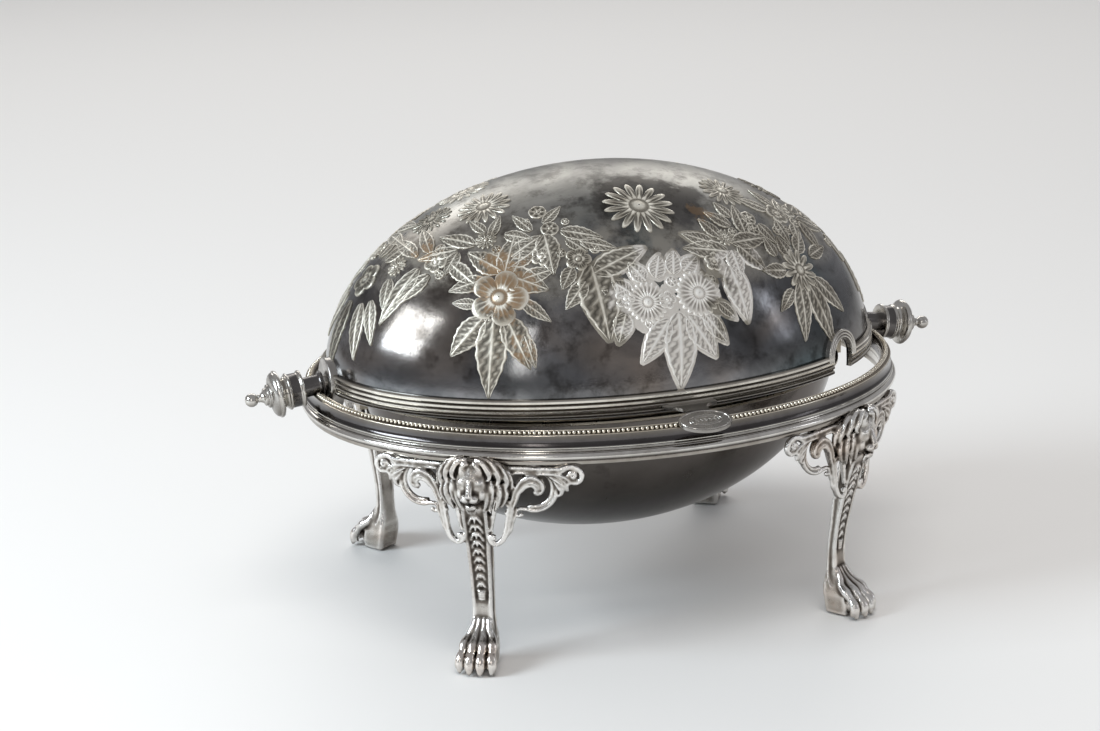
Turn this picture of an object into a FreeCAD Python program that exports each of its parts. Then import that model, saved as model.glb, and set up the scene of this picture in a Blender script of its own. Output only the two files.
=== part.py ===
import FreeCAD, Part
import math
import os

# Revolving domed dish warmer: an oval frame on four cast lion legs, with a spheroid cover that turns on
# two end trunnions, over a hot-water bowl, a liner dish and a drainer plate.
# Millimetres. The origin is on the floor under the middle of the oval. X is the pivot axis's direction,
# -Y is the front, where the finger tab is, and Z is up.

V = FreeCAD.Vector
doc = FreeCAD.newDocument("RevolvingDish")

# Dimensions: alias, value, meaning. A value that starts with an equals sign follows the sizes it names.
SIZES = [
    ("pivot_z", 125.0, "height of the pivot axis"),
    ("cover_length", 145.0, "half length of the cover, out to out"),
    ("cover_radius", 99.7, "outer radius of the cover about the pivot"),
    ("cover_wall", 1.0, "sheet of the cover"),
    ("cover_edge_z", 122.0, "lower edge of the closed cover"),
    ("border_tall", 10.0, "height of the reeded border"),
    ("border_out", 2.5, "how far the border's reeds stand out"),
    ("reed_valley", 0.9, "depth of the valleys between the reeds"),
    ("reed_count", 4, "reeds in the border"),
    ("lug_radius", 13.0, "bearing disc in the cover's end"),
    ("lug_inner_x", "=cover_length - 4", "inner face of the bearing disc"),
    ("lug_outer_x", "=cover_length + 2.8", "outer face of the bearing disc"),
    ("spigot_radius", 4.0, "trunnion spigot that the cover turns on"),
    ("spigot_gap", 0.06, "radial running clearance of the spigot"),
    ("notch_inset", 41.0, "distance of the spoon notch from the cover's end, along X"),
    ("notch_x", "=cover_length - notch_inset", "middle of the spoon notch"),
    ("notch_width", 18.0, "opening of the spoon notch"),
    ("notch_spring_z", 130.0, "where the notch's arch springs"),
    ("notch_rim", 4.5, "width of the arch moulding"),
    ("notch_rim_out", 2.2, "how far the arch moulding stands out"),
    ("tab_x", 8.0, "middle of the finger tab"),
    ("tab_z", "=cover_edge_z + 2.4", "middle of the tab's sheet at its root"),
    ("tab_thick", 1.6, "sheet of the tab"),
    ("tab_root", 28.0, "width of the tab's root"),
    ("tab_neck", 12.0, "width of the tab's neck"),
    ("tab_reach", 13.3, "distance of the tab's bend from the cover's wall"),
    ("tab_bend_y", "=cover_radius + tab_reach", "distance of the tab's bend from the pivot axis"),
    ("tab_tilt", 15.0, "droop of the oval plate, degrees"),
    ("tab_plate_x", 13.5, "half width of the oval plate"),
    ("tab_plate_y", 9.0, "half depth of the oval plate"),
    ("ring_end_room", 7.3, "frame's bead line beyond the cover's end"),
    ("ring_side_room", 19.8, "frame's bead line beyond the cover's side"),
    ("ring_length", "=cover_length + ring_end_room", "half length of the frame at the bead line"),
    ("ring_width", "=cover_radius + ring_side_room", "half width of the frame at the bead line"),
    ("ring_top_z", 120.0, "top of the frame, under the bead strip"),
    ("ring_bottom_z", 106.0, "bottom of the frame"),
    ("ring_in", 2.8, "inner wall, inward of the bead line"),
    ("reed_out", 4.2, "frame's outer reed, outward of the bead line"),
    ("reed_z", 110.2, "middle of the frame's outer reed"),
    ("reed_tall", 3.6, "height of the frame's outer reed"),
    ("bead_width", 3.6, "width of the bead strip"),
    ("bead_tall", 1.7, "height of the bead strip"),
    ("bowl_end_room", 18.0, "room between the bowl and the cover's end"),
    ("bowl_side_room", 10.7, "room between the bowl and the cover's side"),
    ("bowl_length", "=cover_length - bowl_end_room", "half length of the hot-water bowl"),
    ("bowl_radius", "=cover_radius - bowl_side_room", "outer radius of the hot-water bowl"),
    ("bowl_wall", 1.2, "sheet of the hot-water bowl"),
    ("bowl_rim_z", 117.0, "rim of the hot-water bowl"),
    ("band_out", 2.2, "thickness of the rim band"),
    ("band_tall", 2.8, "height of the rim band"),
    ("liner_flange", 9.2, "width of the liner's flange"),
    ("liner_length", "=bowl_length + 0.2 - liner_flange", "half length of the liner's well"),
    ("liner_width", "=bowl_radius + 0.2 - liner_flange", "half width of the liner's well"),
    ("liner_deep", 60.0, "depth of the liner's well"),
    ("liner_wall", 1.0, "sheet of the liner"),
    ("drainer_z", 88.0, "underside of the drainer plate"),
    ("drainer_thick", 1.5, "sheet of the drainer plate"),
    ("drainer_gap", 0.4, "drainer's gap to the liner's wall"),
    ("slot_width", 4.0, "slots in the drainer"),
    ("slot_pitch", 12.0, "spacing of the slots"),
    ("slot_length", 30.0, "length of a slot"),
    ("loop_radius", 10.0, "drainer handle loop"),
    ("loop_wire", 1.5, "radius of the drainer handle's wire"),
    ("loop_x", "=liner_length - 60", "distance of a drainer handle from the middle"),
    ("hanger_thick", 4.0, "bowl hanger plate"),
    ("hanger_radius", 10.0, "rounded top of the bowl hanger"),
    ("hanger_foot_z", 112.0, "lower end of the bowl hanger"),
    ("stub_radius", 3.0, "trunnion stub held in the hanger"),
    ("tube_radius", 5.0, "trunnion's outer tube"),
    ("tube_start_x", "=cover_length + 3.7", "inner end of the outer tube"),
    ("tube_length", 17.0, "length of the outer tube"),
    ("knob_droop", 7.0, "droop of tube and knob below the pivot axis, degrees"),
    ("drum_start", 11.0, "knob drum's inner end, along the tube"),
    ("drum_length", 9.0, "length of the knob drum"),
    ("drum_radius", 8.8, "radius of the knob drum"),
    ("drum_bead", 0.7, "how far the thin rings stand out round the drum"),
    ("screw_radius", 2.5, "shank of the finial screw"),
    ("disc_radius", 12.0, "finial's moulded disc"),
    ("disc_thick", 4.6, "thickness of the finial's disc"),
    ("neck_length", 8.0, "finial's stepped cone"),
    ("ball_radius", 3.5, "ball at the finial's tip"),
    ("leg_x", "=ring_length - 52.3", "distance of a leg from the middle, along X"),
    ("shaft_top_width", 13.0, "leg's shaft, width under the mask"),
    ("shaft_low_width", 10.6, "leg's shaft, width above the ankle"),
    ("shaft_top_deep", 7.0, "leg's shaft, depth under the mask"),
    ("shaft_low_deep", 4.2, "leg's shaft, depth above the ankle"),
    ("shaft_top_z", 92.0, "where the shaft runs into the mask"),
    ("ankle_z", 30.0, "narrowest place of the leg"),
    ("ankle_set", 9.5, "how far the ankle stands behind the frame's edge"),
    ("knee_out", 3.0, "how far the shaft's top stands before the frame's edge"),
    ("paw_width", 21.0, "width of the paw"),
    ("paw_length", 20.0, "length of the paw"),
    ("paw_tall", 14.0, "height of the paw"),
    ("toe_radius", 3.2, "half width of a toe"),
    ("toe_length", 5.2, "half length of a toe"),
    ("toe_tall", 9.8, "height of a toe"),
    ("claw_tall", 4.6, "height of a claw"),
    ("mask_width", 17.0, "width of the lion's face"),
    ("mask_tall", 22.0, "height of the lion's face"),
    ("mask_z", 97.0, "middle of the lion's face"),
    ("mane_width", 34.0, "width of the mane"),
    ("scroll_radius", 10.2, "middle radius of the bracket's scroll"),
    ("scroll_thick", 1.9, "half thickness of the bracket's scroll"),
    ("scroll_u", 28.0, "distance of the scroll from the leg's middle"),
    ("scroll_z", 93.6, "height of the scroll's middle"),
    ("bar_tall", 5.0, "height of the bracket's top bar"),
    ("bar_deep", 4.8, "depth of the bracket's top bar"),
    ("volute_u", 46.0, "distance of the bar's volute from the leg's middle"),
    ("volute_radius", 4.2, "radius of the bar's volute"),
    ("edge_radius", 146.0, "mean radius of the frame's edge at a leg"),
    ("strand_radius", 1.7, "half thickness of the lower strand"),
    ("strand_foot_z", 67.0, "where the lower strand meets the shaft"),
    ("tool_reach", 400.0, "half width of a cutting block"),
    ("arch_deep", 60.0, "depth of the notch's cutter"),
    ("arch_below", 20.0, "how far the notch's cutter starts below the cover's edge"),
]

sheet = doc.addObject("Spreadsheet::Sheet", "Dims")
for row, (alias, value, meaning) in enumerate(SIZES, start=1):
    sheet.set(f"A{row}", alias)
    sheet.set(f"B{row}", str(value))
    sheet.setAlias(f"B{row}", alias)
    sheet.set(f"C{row}", meaning)
doc.recompute()


def number(expression):
    """The value of an expression on the sheet's names."""
    return float(sheet.evalExpression(expression))


def bind(thing, **expressions):
    """Bind properties to expressions; a name such as Base_z stands for Placement.Base.z."""
    for name, expression in expressions.items():
        target = "Placement.Base." + name[-1] if name.startswith("Base_") else name
        thing.setExpression(target, str(expression))
    return thing


def solid(kind, name, **expressions):
    """One Part primitive with its sizes bound."""
    return bind(doc.addObject("Part::" + kind, name), **expressions)


def turned(thing, axis, angle):
    """Turn a thing about its own origin."""
    thing.Placement = FreeCAD.Placement(thing.Placement.Base, FreeCAD.Rotation(axis, angle))
    return thing


def fuse(name, things):
    joined = doc.addObject("Part::MultiFuse", name)
    joined.Shapes = things
    return joined


def cut(name, base, tool):
    rest = doc.addObject("Part::Cut", name)
    rest.Base = base
    rest.Tool = tool
    return rest


def common(name, first, second):
    shared = doc.addObject("Part::MultiCommon", name)
    shared.Shapes = [first, second]
    return shared


def mirrored(name, source, normal):
    """Mirror image of a source through a plane at the origin."""
    image = doc.addObject("Part::Mirroring", name)
    image.Source = source
    image.Normal = normal
    return image


def oval(name, length, width, height):
    """Horizontal ellipse with half axes length and width, at a height."""
    return solid("Ellipse", name, MajorRadius=length, MinorRadius=width, Base_z=height)


def oval_stack(name, levels):
    """Closed solid through a stack of ovals, each (length, width, height)."""
    stack = doc.addObject("Part::Loft", name)
    stack.Sections = [oval(f"{name}_{i}", *level) for i, level in enumerate(levels)]
    stack.Solid = True
    stack.Ruled = True
    return stack


def oval_ring(name, length, width, outline, inset):
    """Moulding round an oval: outline holds (outward, height) from the bottom up, inset its inner wall."""
    outer = [(f"{length} + {out}", f"{width} + {out}", height) for out, height in outline]
    low, high = outline[0][1], outline[-1][1]
    inner = [(f"{length} - ({inset})", f"{width} - ({inset})", height) for height in (low, high)]
    return cut(name, oval_stack(name + "_outer", outer), oval_stack(name + "_inner", inner))


def spheroid(name, length, radius, grow="0"):
    """Spheroid about the pivot axis, its poles at the two ends."""
    ball = solid("Ellipsoid", name, Radius1=f"{length} + {grow}", Radius2=f"{radius} + {grow}",
                 Radius3=f"{radius} + {grow}")
    turned(ball, V(0, 1, 0), 90)
    return bind(ball, Base_z="Dims.pivot_z")


def slab(name, low, high):
    """Wide block between two heights."""
    side = "2 * Dims.tool_reach"
    corner = "-Dims.tool_reach"
    return solid("Box", name, Length=side, Width=side, Height=f"{high} - ({low})", Base_x=corner,
                 Base_y=corner, Base_z=low)


def rod(name, start, length, radius):
    """Cylinder along +X on the pivot axis, from a start position."""
    bar = solid("Cylinder", name, Radius=radius, Height=length)
    turned(bar, V(0, 1, 0), 90)
    return bind(bar, Base_x=start, Base_z="Dims.pivot_z")


# Base frame: oval moulding with a lower band, a reed, a hollow and a seat for the bead strip
RING = ("Dims.ring_length", "Dims.ring_width")
REED_LOW = "Dims.reed_z - Dims.reed_tall / 2"
REED_HIGH = "Dims.reed_z + Dims.reed_tall / 2"
ring_outline = [
    ("Dims.reed_out - 0.9", "Dims.ring_bottom_z"),
    ("Dims.reed_out - 0.5", REED_LOW),
    ("Dims.reed_out + 0.4", f"{REED_LOW} + 0.4"),
    ("Dims.reed_out + 0.8", "Dims.reed_z"),
    ("Dims.reed_out + 0.4", f"{REED_HIGH} - 0.4"),
    ("Dims.reed_out - 0.6", REED_HIGH),
    ("Dims.reed_out - 0.4", f"{REED_HIGH} + 1.2"),
    ("Dims.reed_out - 1.3", f"{REED_HIGH} + 2.2"),
    ("Dims.bead_width / 2 + 0.3", f"{REED_HIGH} + 4.4"),
    ("Dims.bead_width / 2 + 0.1", "Dims.ring_top_z"),
]
ring_body = oval_ring("ring_body", *RING, ring_outline, "Dims.ring_in")

BEAD_TOP = "Dims.ring_top_z + Dims.bead_tall"
bead_outline = [
    ("Dims.bead_width / 2", "Dims.ring_top_z"),
    ("Dims.bead_width / 2", "Dims.ring_top_z + 0.7"),
    ("Dims.bead_width / 2 - 0.7", f"{BEAD_TOP} - 0.4"),
    ("Dims.bead_width / 2 - 1.2", BEAD_TOP),
]
bead_body = oval_ring("bead_body", *RING, bead_outline, "Dims.bead_width / 2 - 0.6")


# Trunnions: a stub in the hanger, a spigot in the cover's lug and a drooping tube over the frame
HANGER_X = "Dims.bowl_length - 0.5 + Dims.band_out"
HANGER_END = f"{HANGER_X} + Dims.hanger_thick"


def drooping(thing, distance):
    """Set a part that points along its own Z on the drooping knob axis, at a distance along it."""
    droop = number("Dims.knob_droop")
    turned(thing, V(0, 1, 0), 90 + droop)
    return bind(thing, Base_x=f"Dims.tube_start_x + ({distance}) * cos(Dims.knob_droop)",
                Base_z=f"Dims.pivot_z - ({distance}) * sin(Dims.knob_droop)")


def knob_solid(kind, name, distance, **expressions):
    return drooping(solid(kind, name, **expressions), distance)


tube = knob_solid("Cylinder", "tube", "0", Radius="Dims.tube_radius", Height="Dims.tube_length")
spigot = rod("spigot", HANGER_END, f"Dims.tube_start_x + 2 - ({HANGER_END})", "Dims.spigot_radius")
stub = rod("stub", HANGER_X, "Dims.hanger_thick", "Dims.stub_radius")
trunnion_right = fuse("trunnion_right", [stub, spigot, tube])
trunnion_left = mirrored("trunnion_left", trunnion_right, V(1, 0, 0))

# The tubes lie in half-round grooves across the frame and the bead strip
tubes = fuse("tubes", [tube, mirrored("tube_left", tube, V(1, 0, 0))])
base_ring = cut("base_ring", ring_body, tubes)
bead_strip = cut("bead_strip", bead_body, tubes)

# Knob drum with a thin ring at each end, bored for the tube and the finial's shank
DRUM_END = "Dims.drum_start + Dims.drum_length"
drum = knob_solid("Cylinder", "drum", "Dims.drum_start", Radius="Dims.drum_radius", Height="Dims.drum_length")
drum_rings = [
    knob_solid("Cylinder", f"drum_ring_{i}", place, Radius="Dims.drum_radius + Dims.drum_bead",
               Height="2 * Dims.drum_bead")
    for i, place in enumerate(("Dims.drum_start + Dims.drum_bead", f"{DRUM_END} - 3 * Dims.drum_bead"))
]
shank = knob_solid("Cylinder", "shank", "Dims.tube_length", Radius="Dims.screw_radius",
                   Height=f"{DRUM_END} - Dims.tube_length + 1")
knob_bores = fuse("knob_bores", [tube, shank])
handle_knob_right = cut("handle_knob_right", fuse("drum_turned", [drum] + drum_rings), knob_bores)
handle_knob_left = mirrored("handle_knob_left", handle_knob_right, V(1, 0, 0))

# Finial screw: cove, moulded disc, stepped cone and ball on one shank
COVE = 2.0
DISC_START = f"{DRUM_END} + {COVE}"
DISC_END = f"{DISC_START} + Dims.disc_thick"
CONE_END = f"{DISC_END} + Dims.neck_length"
finial_parts = [
    shank,
    knob_solid("Cone", "cove", DRUM_END, Radius1="Dims.drum_radius - 2", Radius2="Dims.disc_radius - 2.5",
               Height=COVE),
    knob_solid("Cylinder", "disc", DISC_START, Radius="Dims.disc_radius - 1.1", Height="Dims.disc_thick"),
    knob_solid("Cylinder", "disc_bead", f"{DISC_START} + Dims.disc_thick * 0.2", Radius="Dims.disc_radius",
               Height="Dims.disc_thick * 0.5"),
    knob_solid("Cylinder", "step", DISC_END, Radius="Dims.disc_radius * 0.66", Height="1.4"),
    knob_solid("Cone", "cone", f"{DISC_END} + 1.4", Radius1="Dims.disc_radius * 0.5", Radius2="2.2",
               Height="Dims.neck_length - 1.4"),
    knob_solid("Sphere", "ball", f"{CONE_END} + Dims.ball_radius - 1", Radius="Dims.ball_radius"),
]
finial_screw_right = fuse("finial_screw_right", finial_parts)
finial_screw_left = mirrored("finial_screw_left", finial_screw_right, V(1, 0, 0))


# Cover: a spheroid shell with a flat edge, holes for the end lugs and the spoon notch
COVER = ("Dims.cover_length", "Dims.cover_radius")


def shell(name, outer, inner, low, high):
    """Space between two spheroids, kept between two heights."""
    return common(name, cut(name + "_skin", outer, inner), slab(name + "_keep", low, high))


def cover_skin(name, grow_out, grow_in, low):
    """Shell that follows the cover, grown outward and inward from its outer surface, above a height."""
    outer = spheroid(name + "_out", *COVER, grow_out)
    inner = spheroid(name + "_in", *COVER, grow_in)
    return shell(name, outer, inner, low, "Dims.pivot_z + 2 * Dims.cover_radius")


NOTCH_Y = "Dims.cover_radius * sqrt(1 - (Dims.notch_x / Dims.cover_length)^2)"
notch_turn = math.degrees(math.atan2(number("Dims.notch_x / Dims.cover_length^2"),
                                     number(f"{NOTCH_Y} / Dims.cover_radius^2")))


def arch(name, half_width):
    """Arched prism through the cover's wall at the notch, square to the wall."""
    rise = "Dims.notch_spring_z - Dims.cover_edge_z + Dims.arch_below"
    post = solid("Box", name + "_post", Length=f"2 * ({half_width})", Width="Dims.arch_deep", Height=rise)
    crown = solid("Cylinder", name + "_crown", Radius=half_width, Height="Dims.arch_deep")
    turned(crown, V(1, 0, 0), 90)
    bind(crown, Base_x=half_width, Base_y="Dims.arch_deep", Base_z=rise)
    whole = fuse(name, [post, crown])
    turn = FreeCAD.Rotation(V(0, 0, 1), notch_turn)
    corner = turn.multVec(V(-number(half_width), -number("Dims.arch_deep") / 2, 0))
    foot = V(number("Dims.notch_x"), -number(NOTCH_Y), number("Dims.cover_edge_z - Dims.arch_below"))
    whole.Placement = FreeCAD.Placement(foot + corner, turn)
    return whole


notch_hole = arch("notch_hole", "Dims.notch_width / 2")
lug_discs = [rod("lug_disc", "Dims.lug_inner_x", "Dims.lug_outer_x - Dims.lug_inner_x", "Dims.lug_radius")]
lug_discs.append(mirrored("lug_disc_left", lug_discs[0], V(1, 0, 0)))
cover_holes = fuse("cover_holes", lug_discs + [notch_hole])
dome_skin = cover_skin("dome_skin", "0", "-Dims.cover_wall", "Dims.cover_edge_z")
cover_dome = cut("cover_dome", dome_skin, cover_holes)

# Reeded border round the cover's edge
REED_STEP = "Dims.border_tall / Dims.reed_count"
border_outline = [("Dims.border_out - Dims.reed_valley", "Dims.cover_edge_z")]
for reed in range(int(number("Dims.reed_count"))):
    foot = f"Dims.cover_edge_z + {reed} * {REED_STEP}"
    border_outline += [
        ("Dims.border_out", f"{foot} + 0.3 * {REED_STEP}"),
        ("Dims.border_out", f"{foot} + 0.7 * {REED_STEP}"),
        ("Dims.border_out - Dims.reed_valley", f"{foot} + {REED_STEP}"),
    ]
cover_border = cut("cover_border", oval_ring("border_body", *COVER, border_outline, "0"), cover_holes)

# Bearing lugs in the cover's ends, running on the spigots
bore = rod("bore", "Dims.lug_inner_x - 1", "Dims.lug_outer_x - Dims.lug_inner_x + 2",
           "Dims.spigot_radius + Dims.spigot_gap")
cover_lug_right = cut("cover_lug_right", lug_discs[0], bore)
cover_lug_left = mirrored("cover_lug_left", cover_lug_right, V(1, 0, 0))

# Reeded arch soldered round the notch, from the border's top up
notch_band = cut("notch_band", arch("notch_outer", "Dims.notch_width / 2 + Dims.notch_rim"), notch_hole)
BORDER_TOP = "Dims.cover_edge_z + Dims.border_tall"
rim_skin = cover_skin("rim_skin", "Dims.notch_rim_out", "0", BORDER_TOP)
notch_border = common("notch_border", notch_band, rim_skin)

# Finger tab: a root that narrows in two hollows to a neck, and a drooping oval plate
ROOT_Y = "Dims.cover_radius"
root = solid("Box", "tab_root_sheet", Length="Dims.tab_root", Width=f"Dims.tab_bend_y + 1 - {ROOT_Y}",
             Height="Dims.tab_thick", Base_x="Dims.tab_x - Dims.tab_root / 2", Base_y="-Dims.tab_bend_y - 1",
             Base_z="Dims.tab_z - Dims.tab_thick / 2")
HOLLOW = "(Dims.tab_root - Dims.tab_neck) / 2"
hollows = [
    solid("Cylinder", f"tab_hollow_{name}", Radius=HOLLOW, Height="4 * Dims.tab_thick",
          Base_x=f"Dims.tab_x {sign} Dims.tab_root / 2", Base_y="-Dims.tab_bend_y + 1.5",
          Base_z="Dims.tab_z - 2 * Dims.tab_thick")
    for name, sign in (("left", "-"), ("right", "+"))
]
border_core = oval_stack("border_core", [
    ("Dims.cover_length + Dims.border_out", "Dims.cover_radius + Dims.border_out", "Dims.cover_edge_z"),
    ("Dims.cover_length + Dims.border_out", "Dims.cover_radius + Dims.border_out", BORDER_TOP),
])
neck = cut("tab_neck_sheet", root, fuse("tab_cuts", hollows + [border_core]))
plate_edge = solid("Ellipse", "tab_plate_edge", MajorRadius="Dims.tab_plate_x",
                   MinorRadius="Dims.tab_plate_y", Base_x="Dims.tab_x", Base_z="-Dims.tab_thick / 2")
plate = doc.addObject("Part::Extrusion", "tab_plate")
plate.Base = plate_edge
plate.DirMode = "Custom"
plate.Dir = V(0, 0, 1)
plate.Solid = True
bind(plate, LengthFwd="Dims.tab_thick")
turned(plate, V(1, 0, 0), number("Dims.tab_tilt"))
bind(plate, Base_y="-Dims.tab_bend_y - Dims.tab_plate_y * cos(Dims.tab_tilt) - 1",
     Base_z="Dims.tab_z - Dims.tab_plate_y * sin(Dims.tab_tilt)")
cover_tab = fuse("cover_tab", [neck, plate])


# Hot-water bowl, its rim band and the two plates that hang it on the trunnions
BOWL = ("Dims.bowl_length", "Dims.bowl_radius")
water_bowl = shell("water_bowl", spheroid("bowl_out", *BOWL), spheroid("bowl_in", *BOWL, "-Dims.bowl_wall"),
                   "0", "Dims.bowl_rim_z")

BAND_TOP = "Dims.bowl_rim_z + 0.4"
BAND_SET = 0.3
band_outline = [
    ("Dims.band_out * 0.4", f"{BAND_TOP} - Dims.band_tall"),
    (f"Dims.band_out - {BAND_SET}", f"{BAND_TOP} - Dims.band_tall * 0.7"),
    (f"Dims.band_out - {BAND_SET}", f"{BAND_TOP} - Dims.band_tall * 0.3"),
    ("Dims.band_out * 0.4", BAND_TOP),
]
bowl_rim_band = oval_ring("bowl_rim_band", *BOWL, band_outline, str(BAND_SET))

hanger_plate = solid("Box", "hanger_plate", Length="Dims.hanger_thick", Width="2 * Dims.hanger_radius",
                     Height="Dims.pivot_z - Dims.hanger_foot_z", Base_x=HANGER_X,
                     Base_y="-Dims.hanger_radius", Base_z="Dims.hanger_foot_z")
hanger_top = rod("hanger_top", HANGER_X, "Dims.hanger_thick", "Dims.hanger_radius")
band_core = oval_stack("band_core", [
    (f"Dims.bowl_length + {out}", f"Dims.bowl_radius + {out}", height) for out, height in band_outline
])
hanger_blank = fuse("hanger_blank", [hanger_plate, hanger_top])
bowl_hanger_right = cut("bowl_hanger_right", hanger_blank, fuse("hanger_room", [stub, band_core]))
bowl_hanger_left = mirrored("bowl_hanger_left", bowl_hanger_right, V(1, 0, 0))


# Liner dish with a flange that rests on the rim band
FLANGE_TOP = f"{BAND_TOP} + Dims.liner_wall"


def pan(name, grow):
    well = solid("Ellipsoid", name, Radius1=f"Dims.liner_deep + {grow}",
                 Radius2=f"Dims.liner_length + {grow}", Radius3=f"Dims.liner_width + {grow}")
    return bind(well, Base_z=FLANGE_TOP)


well_skin = cut("well_skin", pan("well_out", "0"), pan("well_in", "-Dims.liner_wall"))
well = common("well", well_skin, slab("well_keep", "0", FLANGE_TOP))
flange = oval_ring("flange", "Dims.liner_length", "Dims.liner_width", [
    ("Dims.liner_flange", BAND_TOP),
    ("Dims.liner_flange", FLANGE_TOP),
], "0.5")
liner_dish = fuse("liner_dish", [well, flange])

# Drainer plate with rows of long slots, resting in the liner, and its two lifting loops
DEPTH_SHARE = f"sqrt(1 - (({FLANGE_TOP} - Dims.drainer_z) / (Dims.liner_deep - Dims.liner_wall))^2)"
DRAINER_X = f"(Dims.liner_length - Dims.liner_wall) * {DEPTH_SHARE} - Dims.drainer_gap"
DRAINER_Y = f"(Dims.liner_width - Dims.liner_wall) * {DEPTH_SHARE} - Dims.drainer_gap"
drainer_blank = oval_stack("drainer_blank", [
    (DRAINER_X, DRAINER_Y, "Dims.drainer_z"),
    (DRAINER_X, DRAINER_Y, "Dims.drainer_z + Dims.drainer_thick"),
])
slots = []
for line in range(-3, 4):
    columns = (-1, 0, 1) if abs(line) < 3 else (0,)
    for column in columns:
        slots.append(solid(
            "Box", "slot", Length="Dims.slot_length", Width="Dims.slot_width",
            Height="3 * Dims.drainer_thick",
            Base_x=f"{column} * (Dims.slot_length + Dims.slot_width) - Dims.slot_length / 2",
            Base_y=f"{line} * Dims.slot_pitch - Dims.slot_width / 2",
            Base_z="Dims.drainer_z - Dims.drainer_thick"))
drainer_plate = cut("drainer_plate", drainer_blank, fuse("slots", slots))


def loop_disc(name, radius, length):
    """Short cylinder on the drainer's handle axis, which points along X."""
    disc = solid("Cylinder", name, Radius=radius, Height=length)
    turned(disc, V(0, 1, 0), 90)
    return bind(disc, Base_x=f"Dims.loop_x - ({length}) / 2", Base_z="Dims.drainer_z + Dims.drainer_thick")


loop = cut("loop", loop_disc("loop_out", "Dims.loop_radius + Dims.loop_wire", "2 * Dims.loop_wire"),
           loop_disc("loop_in", "Dims.loop_radius - Dims.loop_wire", "4 * Dims.loop_wire"))
loop_keep = slab("loop_keep", "Dims.drainer_z + Dims.drainer_thick", "Dims.drainer_z + 4 * Dims.loop_radius")
drainer_handle_right = common("drainer_handle_right", loop, loop_keep)
drainer_handle_left = mirrored("drainer_handle_left", drainer_handle_right, V(1, 0, 0))


# Leg casting, in its own frame: U along the frame's edge, -Y outward, Z up, the frame's edge at Y = 0
def leg_solid(kind, name, u, out, z, **expressions):
    """A primitive with its origin at a place on the leg."""
    return solid(kind, name, Base_x=u, Base_y=f"-({out})", Base_z=z, **expressions)


# Height and width of a lump's levels, as shares of its half sizes
EGG_LEVELS = [(-0.97, 0.24), (-0.78, 0.63), (-0.4, 0.92), (0.1, 1.0), (0.5, 0.87), (0.82, 0.57), (0.97, 0.24)]


def lump(name, u, out, z, half_u, half_out, half_z):
    """An egg-shaped lump of the casting, as a stack of ovals."""
    deeper = number(half_out) > number(half_u)
    longer, shorter = (half_out, half_u) if deeper else (half_u, half_out)
    levels = []
    for i, (rise, share) in enumerate(EGG_LEVELS):
        ring = solid("Ellipse", f"{name}_{i}", MajorRadius=f"({longer}) * {share}",
                     MinorRadius=f"({shorter}) * {share}")
        turned(ring, V(0, 0, 1), 90 if deeper else 0)
        levels.append(bind(ring, Base_x=u, Base_y=f"-({out})", Base_z=f"({z}) + {rise} * ({half_z})"))
    egg = doc.addObject("Part::Loft", name)
    egg.Sections = levels
    egg.Solid = True
    egg.Ruled = True
    return egg


def tapered_post(name, low, high):
    """Post between two levels, each (height, width, depth, outward place of its front)."""
    post = doc.addObject("Part::Wedge", name)
    (z0, w0, d0, f0), (z1, w1, d1, f1) = low, high
    bind(post, Ymin=z0, Ymax=z1, Xmin=f"-({w0}) / 2", Xmax=f"({w0}) / 2", X2min=f"-({w1}) / 2",
         X2max=f"({w1}) / 2", Zmin=f"({f0}) - ({d0})", Zmax=f0, Z2min=f"({f1}) - ({d1})", Z2max=f1)
    return turned(post, V(1, 0, 0), 90)


ANKLE_OUT = "-Dims.ankle_set + Dims.shaft_low_deep / 2"
knee = ("Dims.shaft_top_z", "Dims.shaft_top_width", "Dims.shaft_top_deep", "Dims.knee_out")
MIDDLE_Z = "Dims.ankle_z + 0.35 * (Dims.shaft_top_z - Dims.ankle_z)"
middle = (MIDDLE_Z, "Dims.shaft_low_width + 0.8", "Dims.shaft_low_deep + 0.8", f"{ANKLE_OUT} + 2.6")
ankle = ("Dims.ankle_z", "Dims.shaft_low_width", "Dims.shaft_low_deep", ANKLE_OUT)
hock = ("Dims.paw_tall", "Dims.shaft_low_width + 2", "Dims.shaft_low_deep + 3.5", f"{ANKLE_OUT} + 3")
shaft = [tapered_post("shaft_upper", middle, knee), tapered_post("shaft_lower", ankle, middle),
         tapered_post("shaft_hock", hock, ankle)]

# Paw: a pad with four toes and their claws, standing on a flat sole
paw = [lump("pad", "0", "-2.6", "Dims.paw_tall * 0.42", "Dims.paw_width / 2 - 1.6",
            "Dims.paw_length / 2 - 1.4", "Dims.paw_tall * 0.62")]
for toe, side in enumerate((-1.5, -0.5, 0.5, 1.5)):
    toe_u = f"{side} * (Dims.paw_width - 2 * Dims.toe_radius) / 3"
    toe_out = f"Dims.paw_length / 2 - {abs(side) * 1.4} - 4.4"
    paw.append(lump(f"toe_{toe}", toe_u, toe_out, "Dims.toe_tall / 2", "Dims.toe_radius", "Dims.toe_length",
                    "Dims.toe_tall / 2"))
    paw.append(lump(f"claw_{toe}", toe_u, f"{toe_out} + 3.4", "Dims.claw_tall / 2", "Dims.toe_radius * 0.55",
                    "Dims.toe_length * 0.6", "Dims.claw_tall / 2"))

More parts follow.
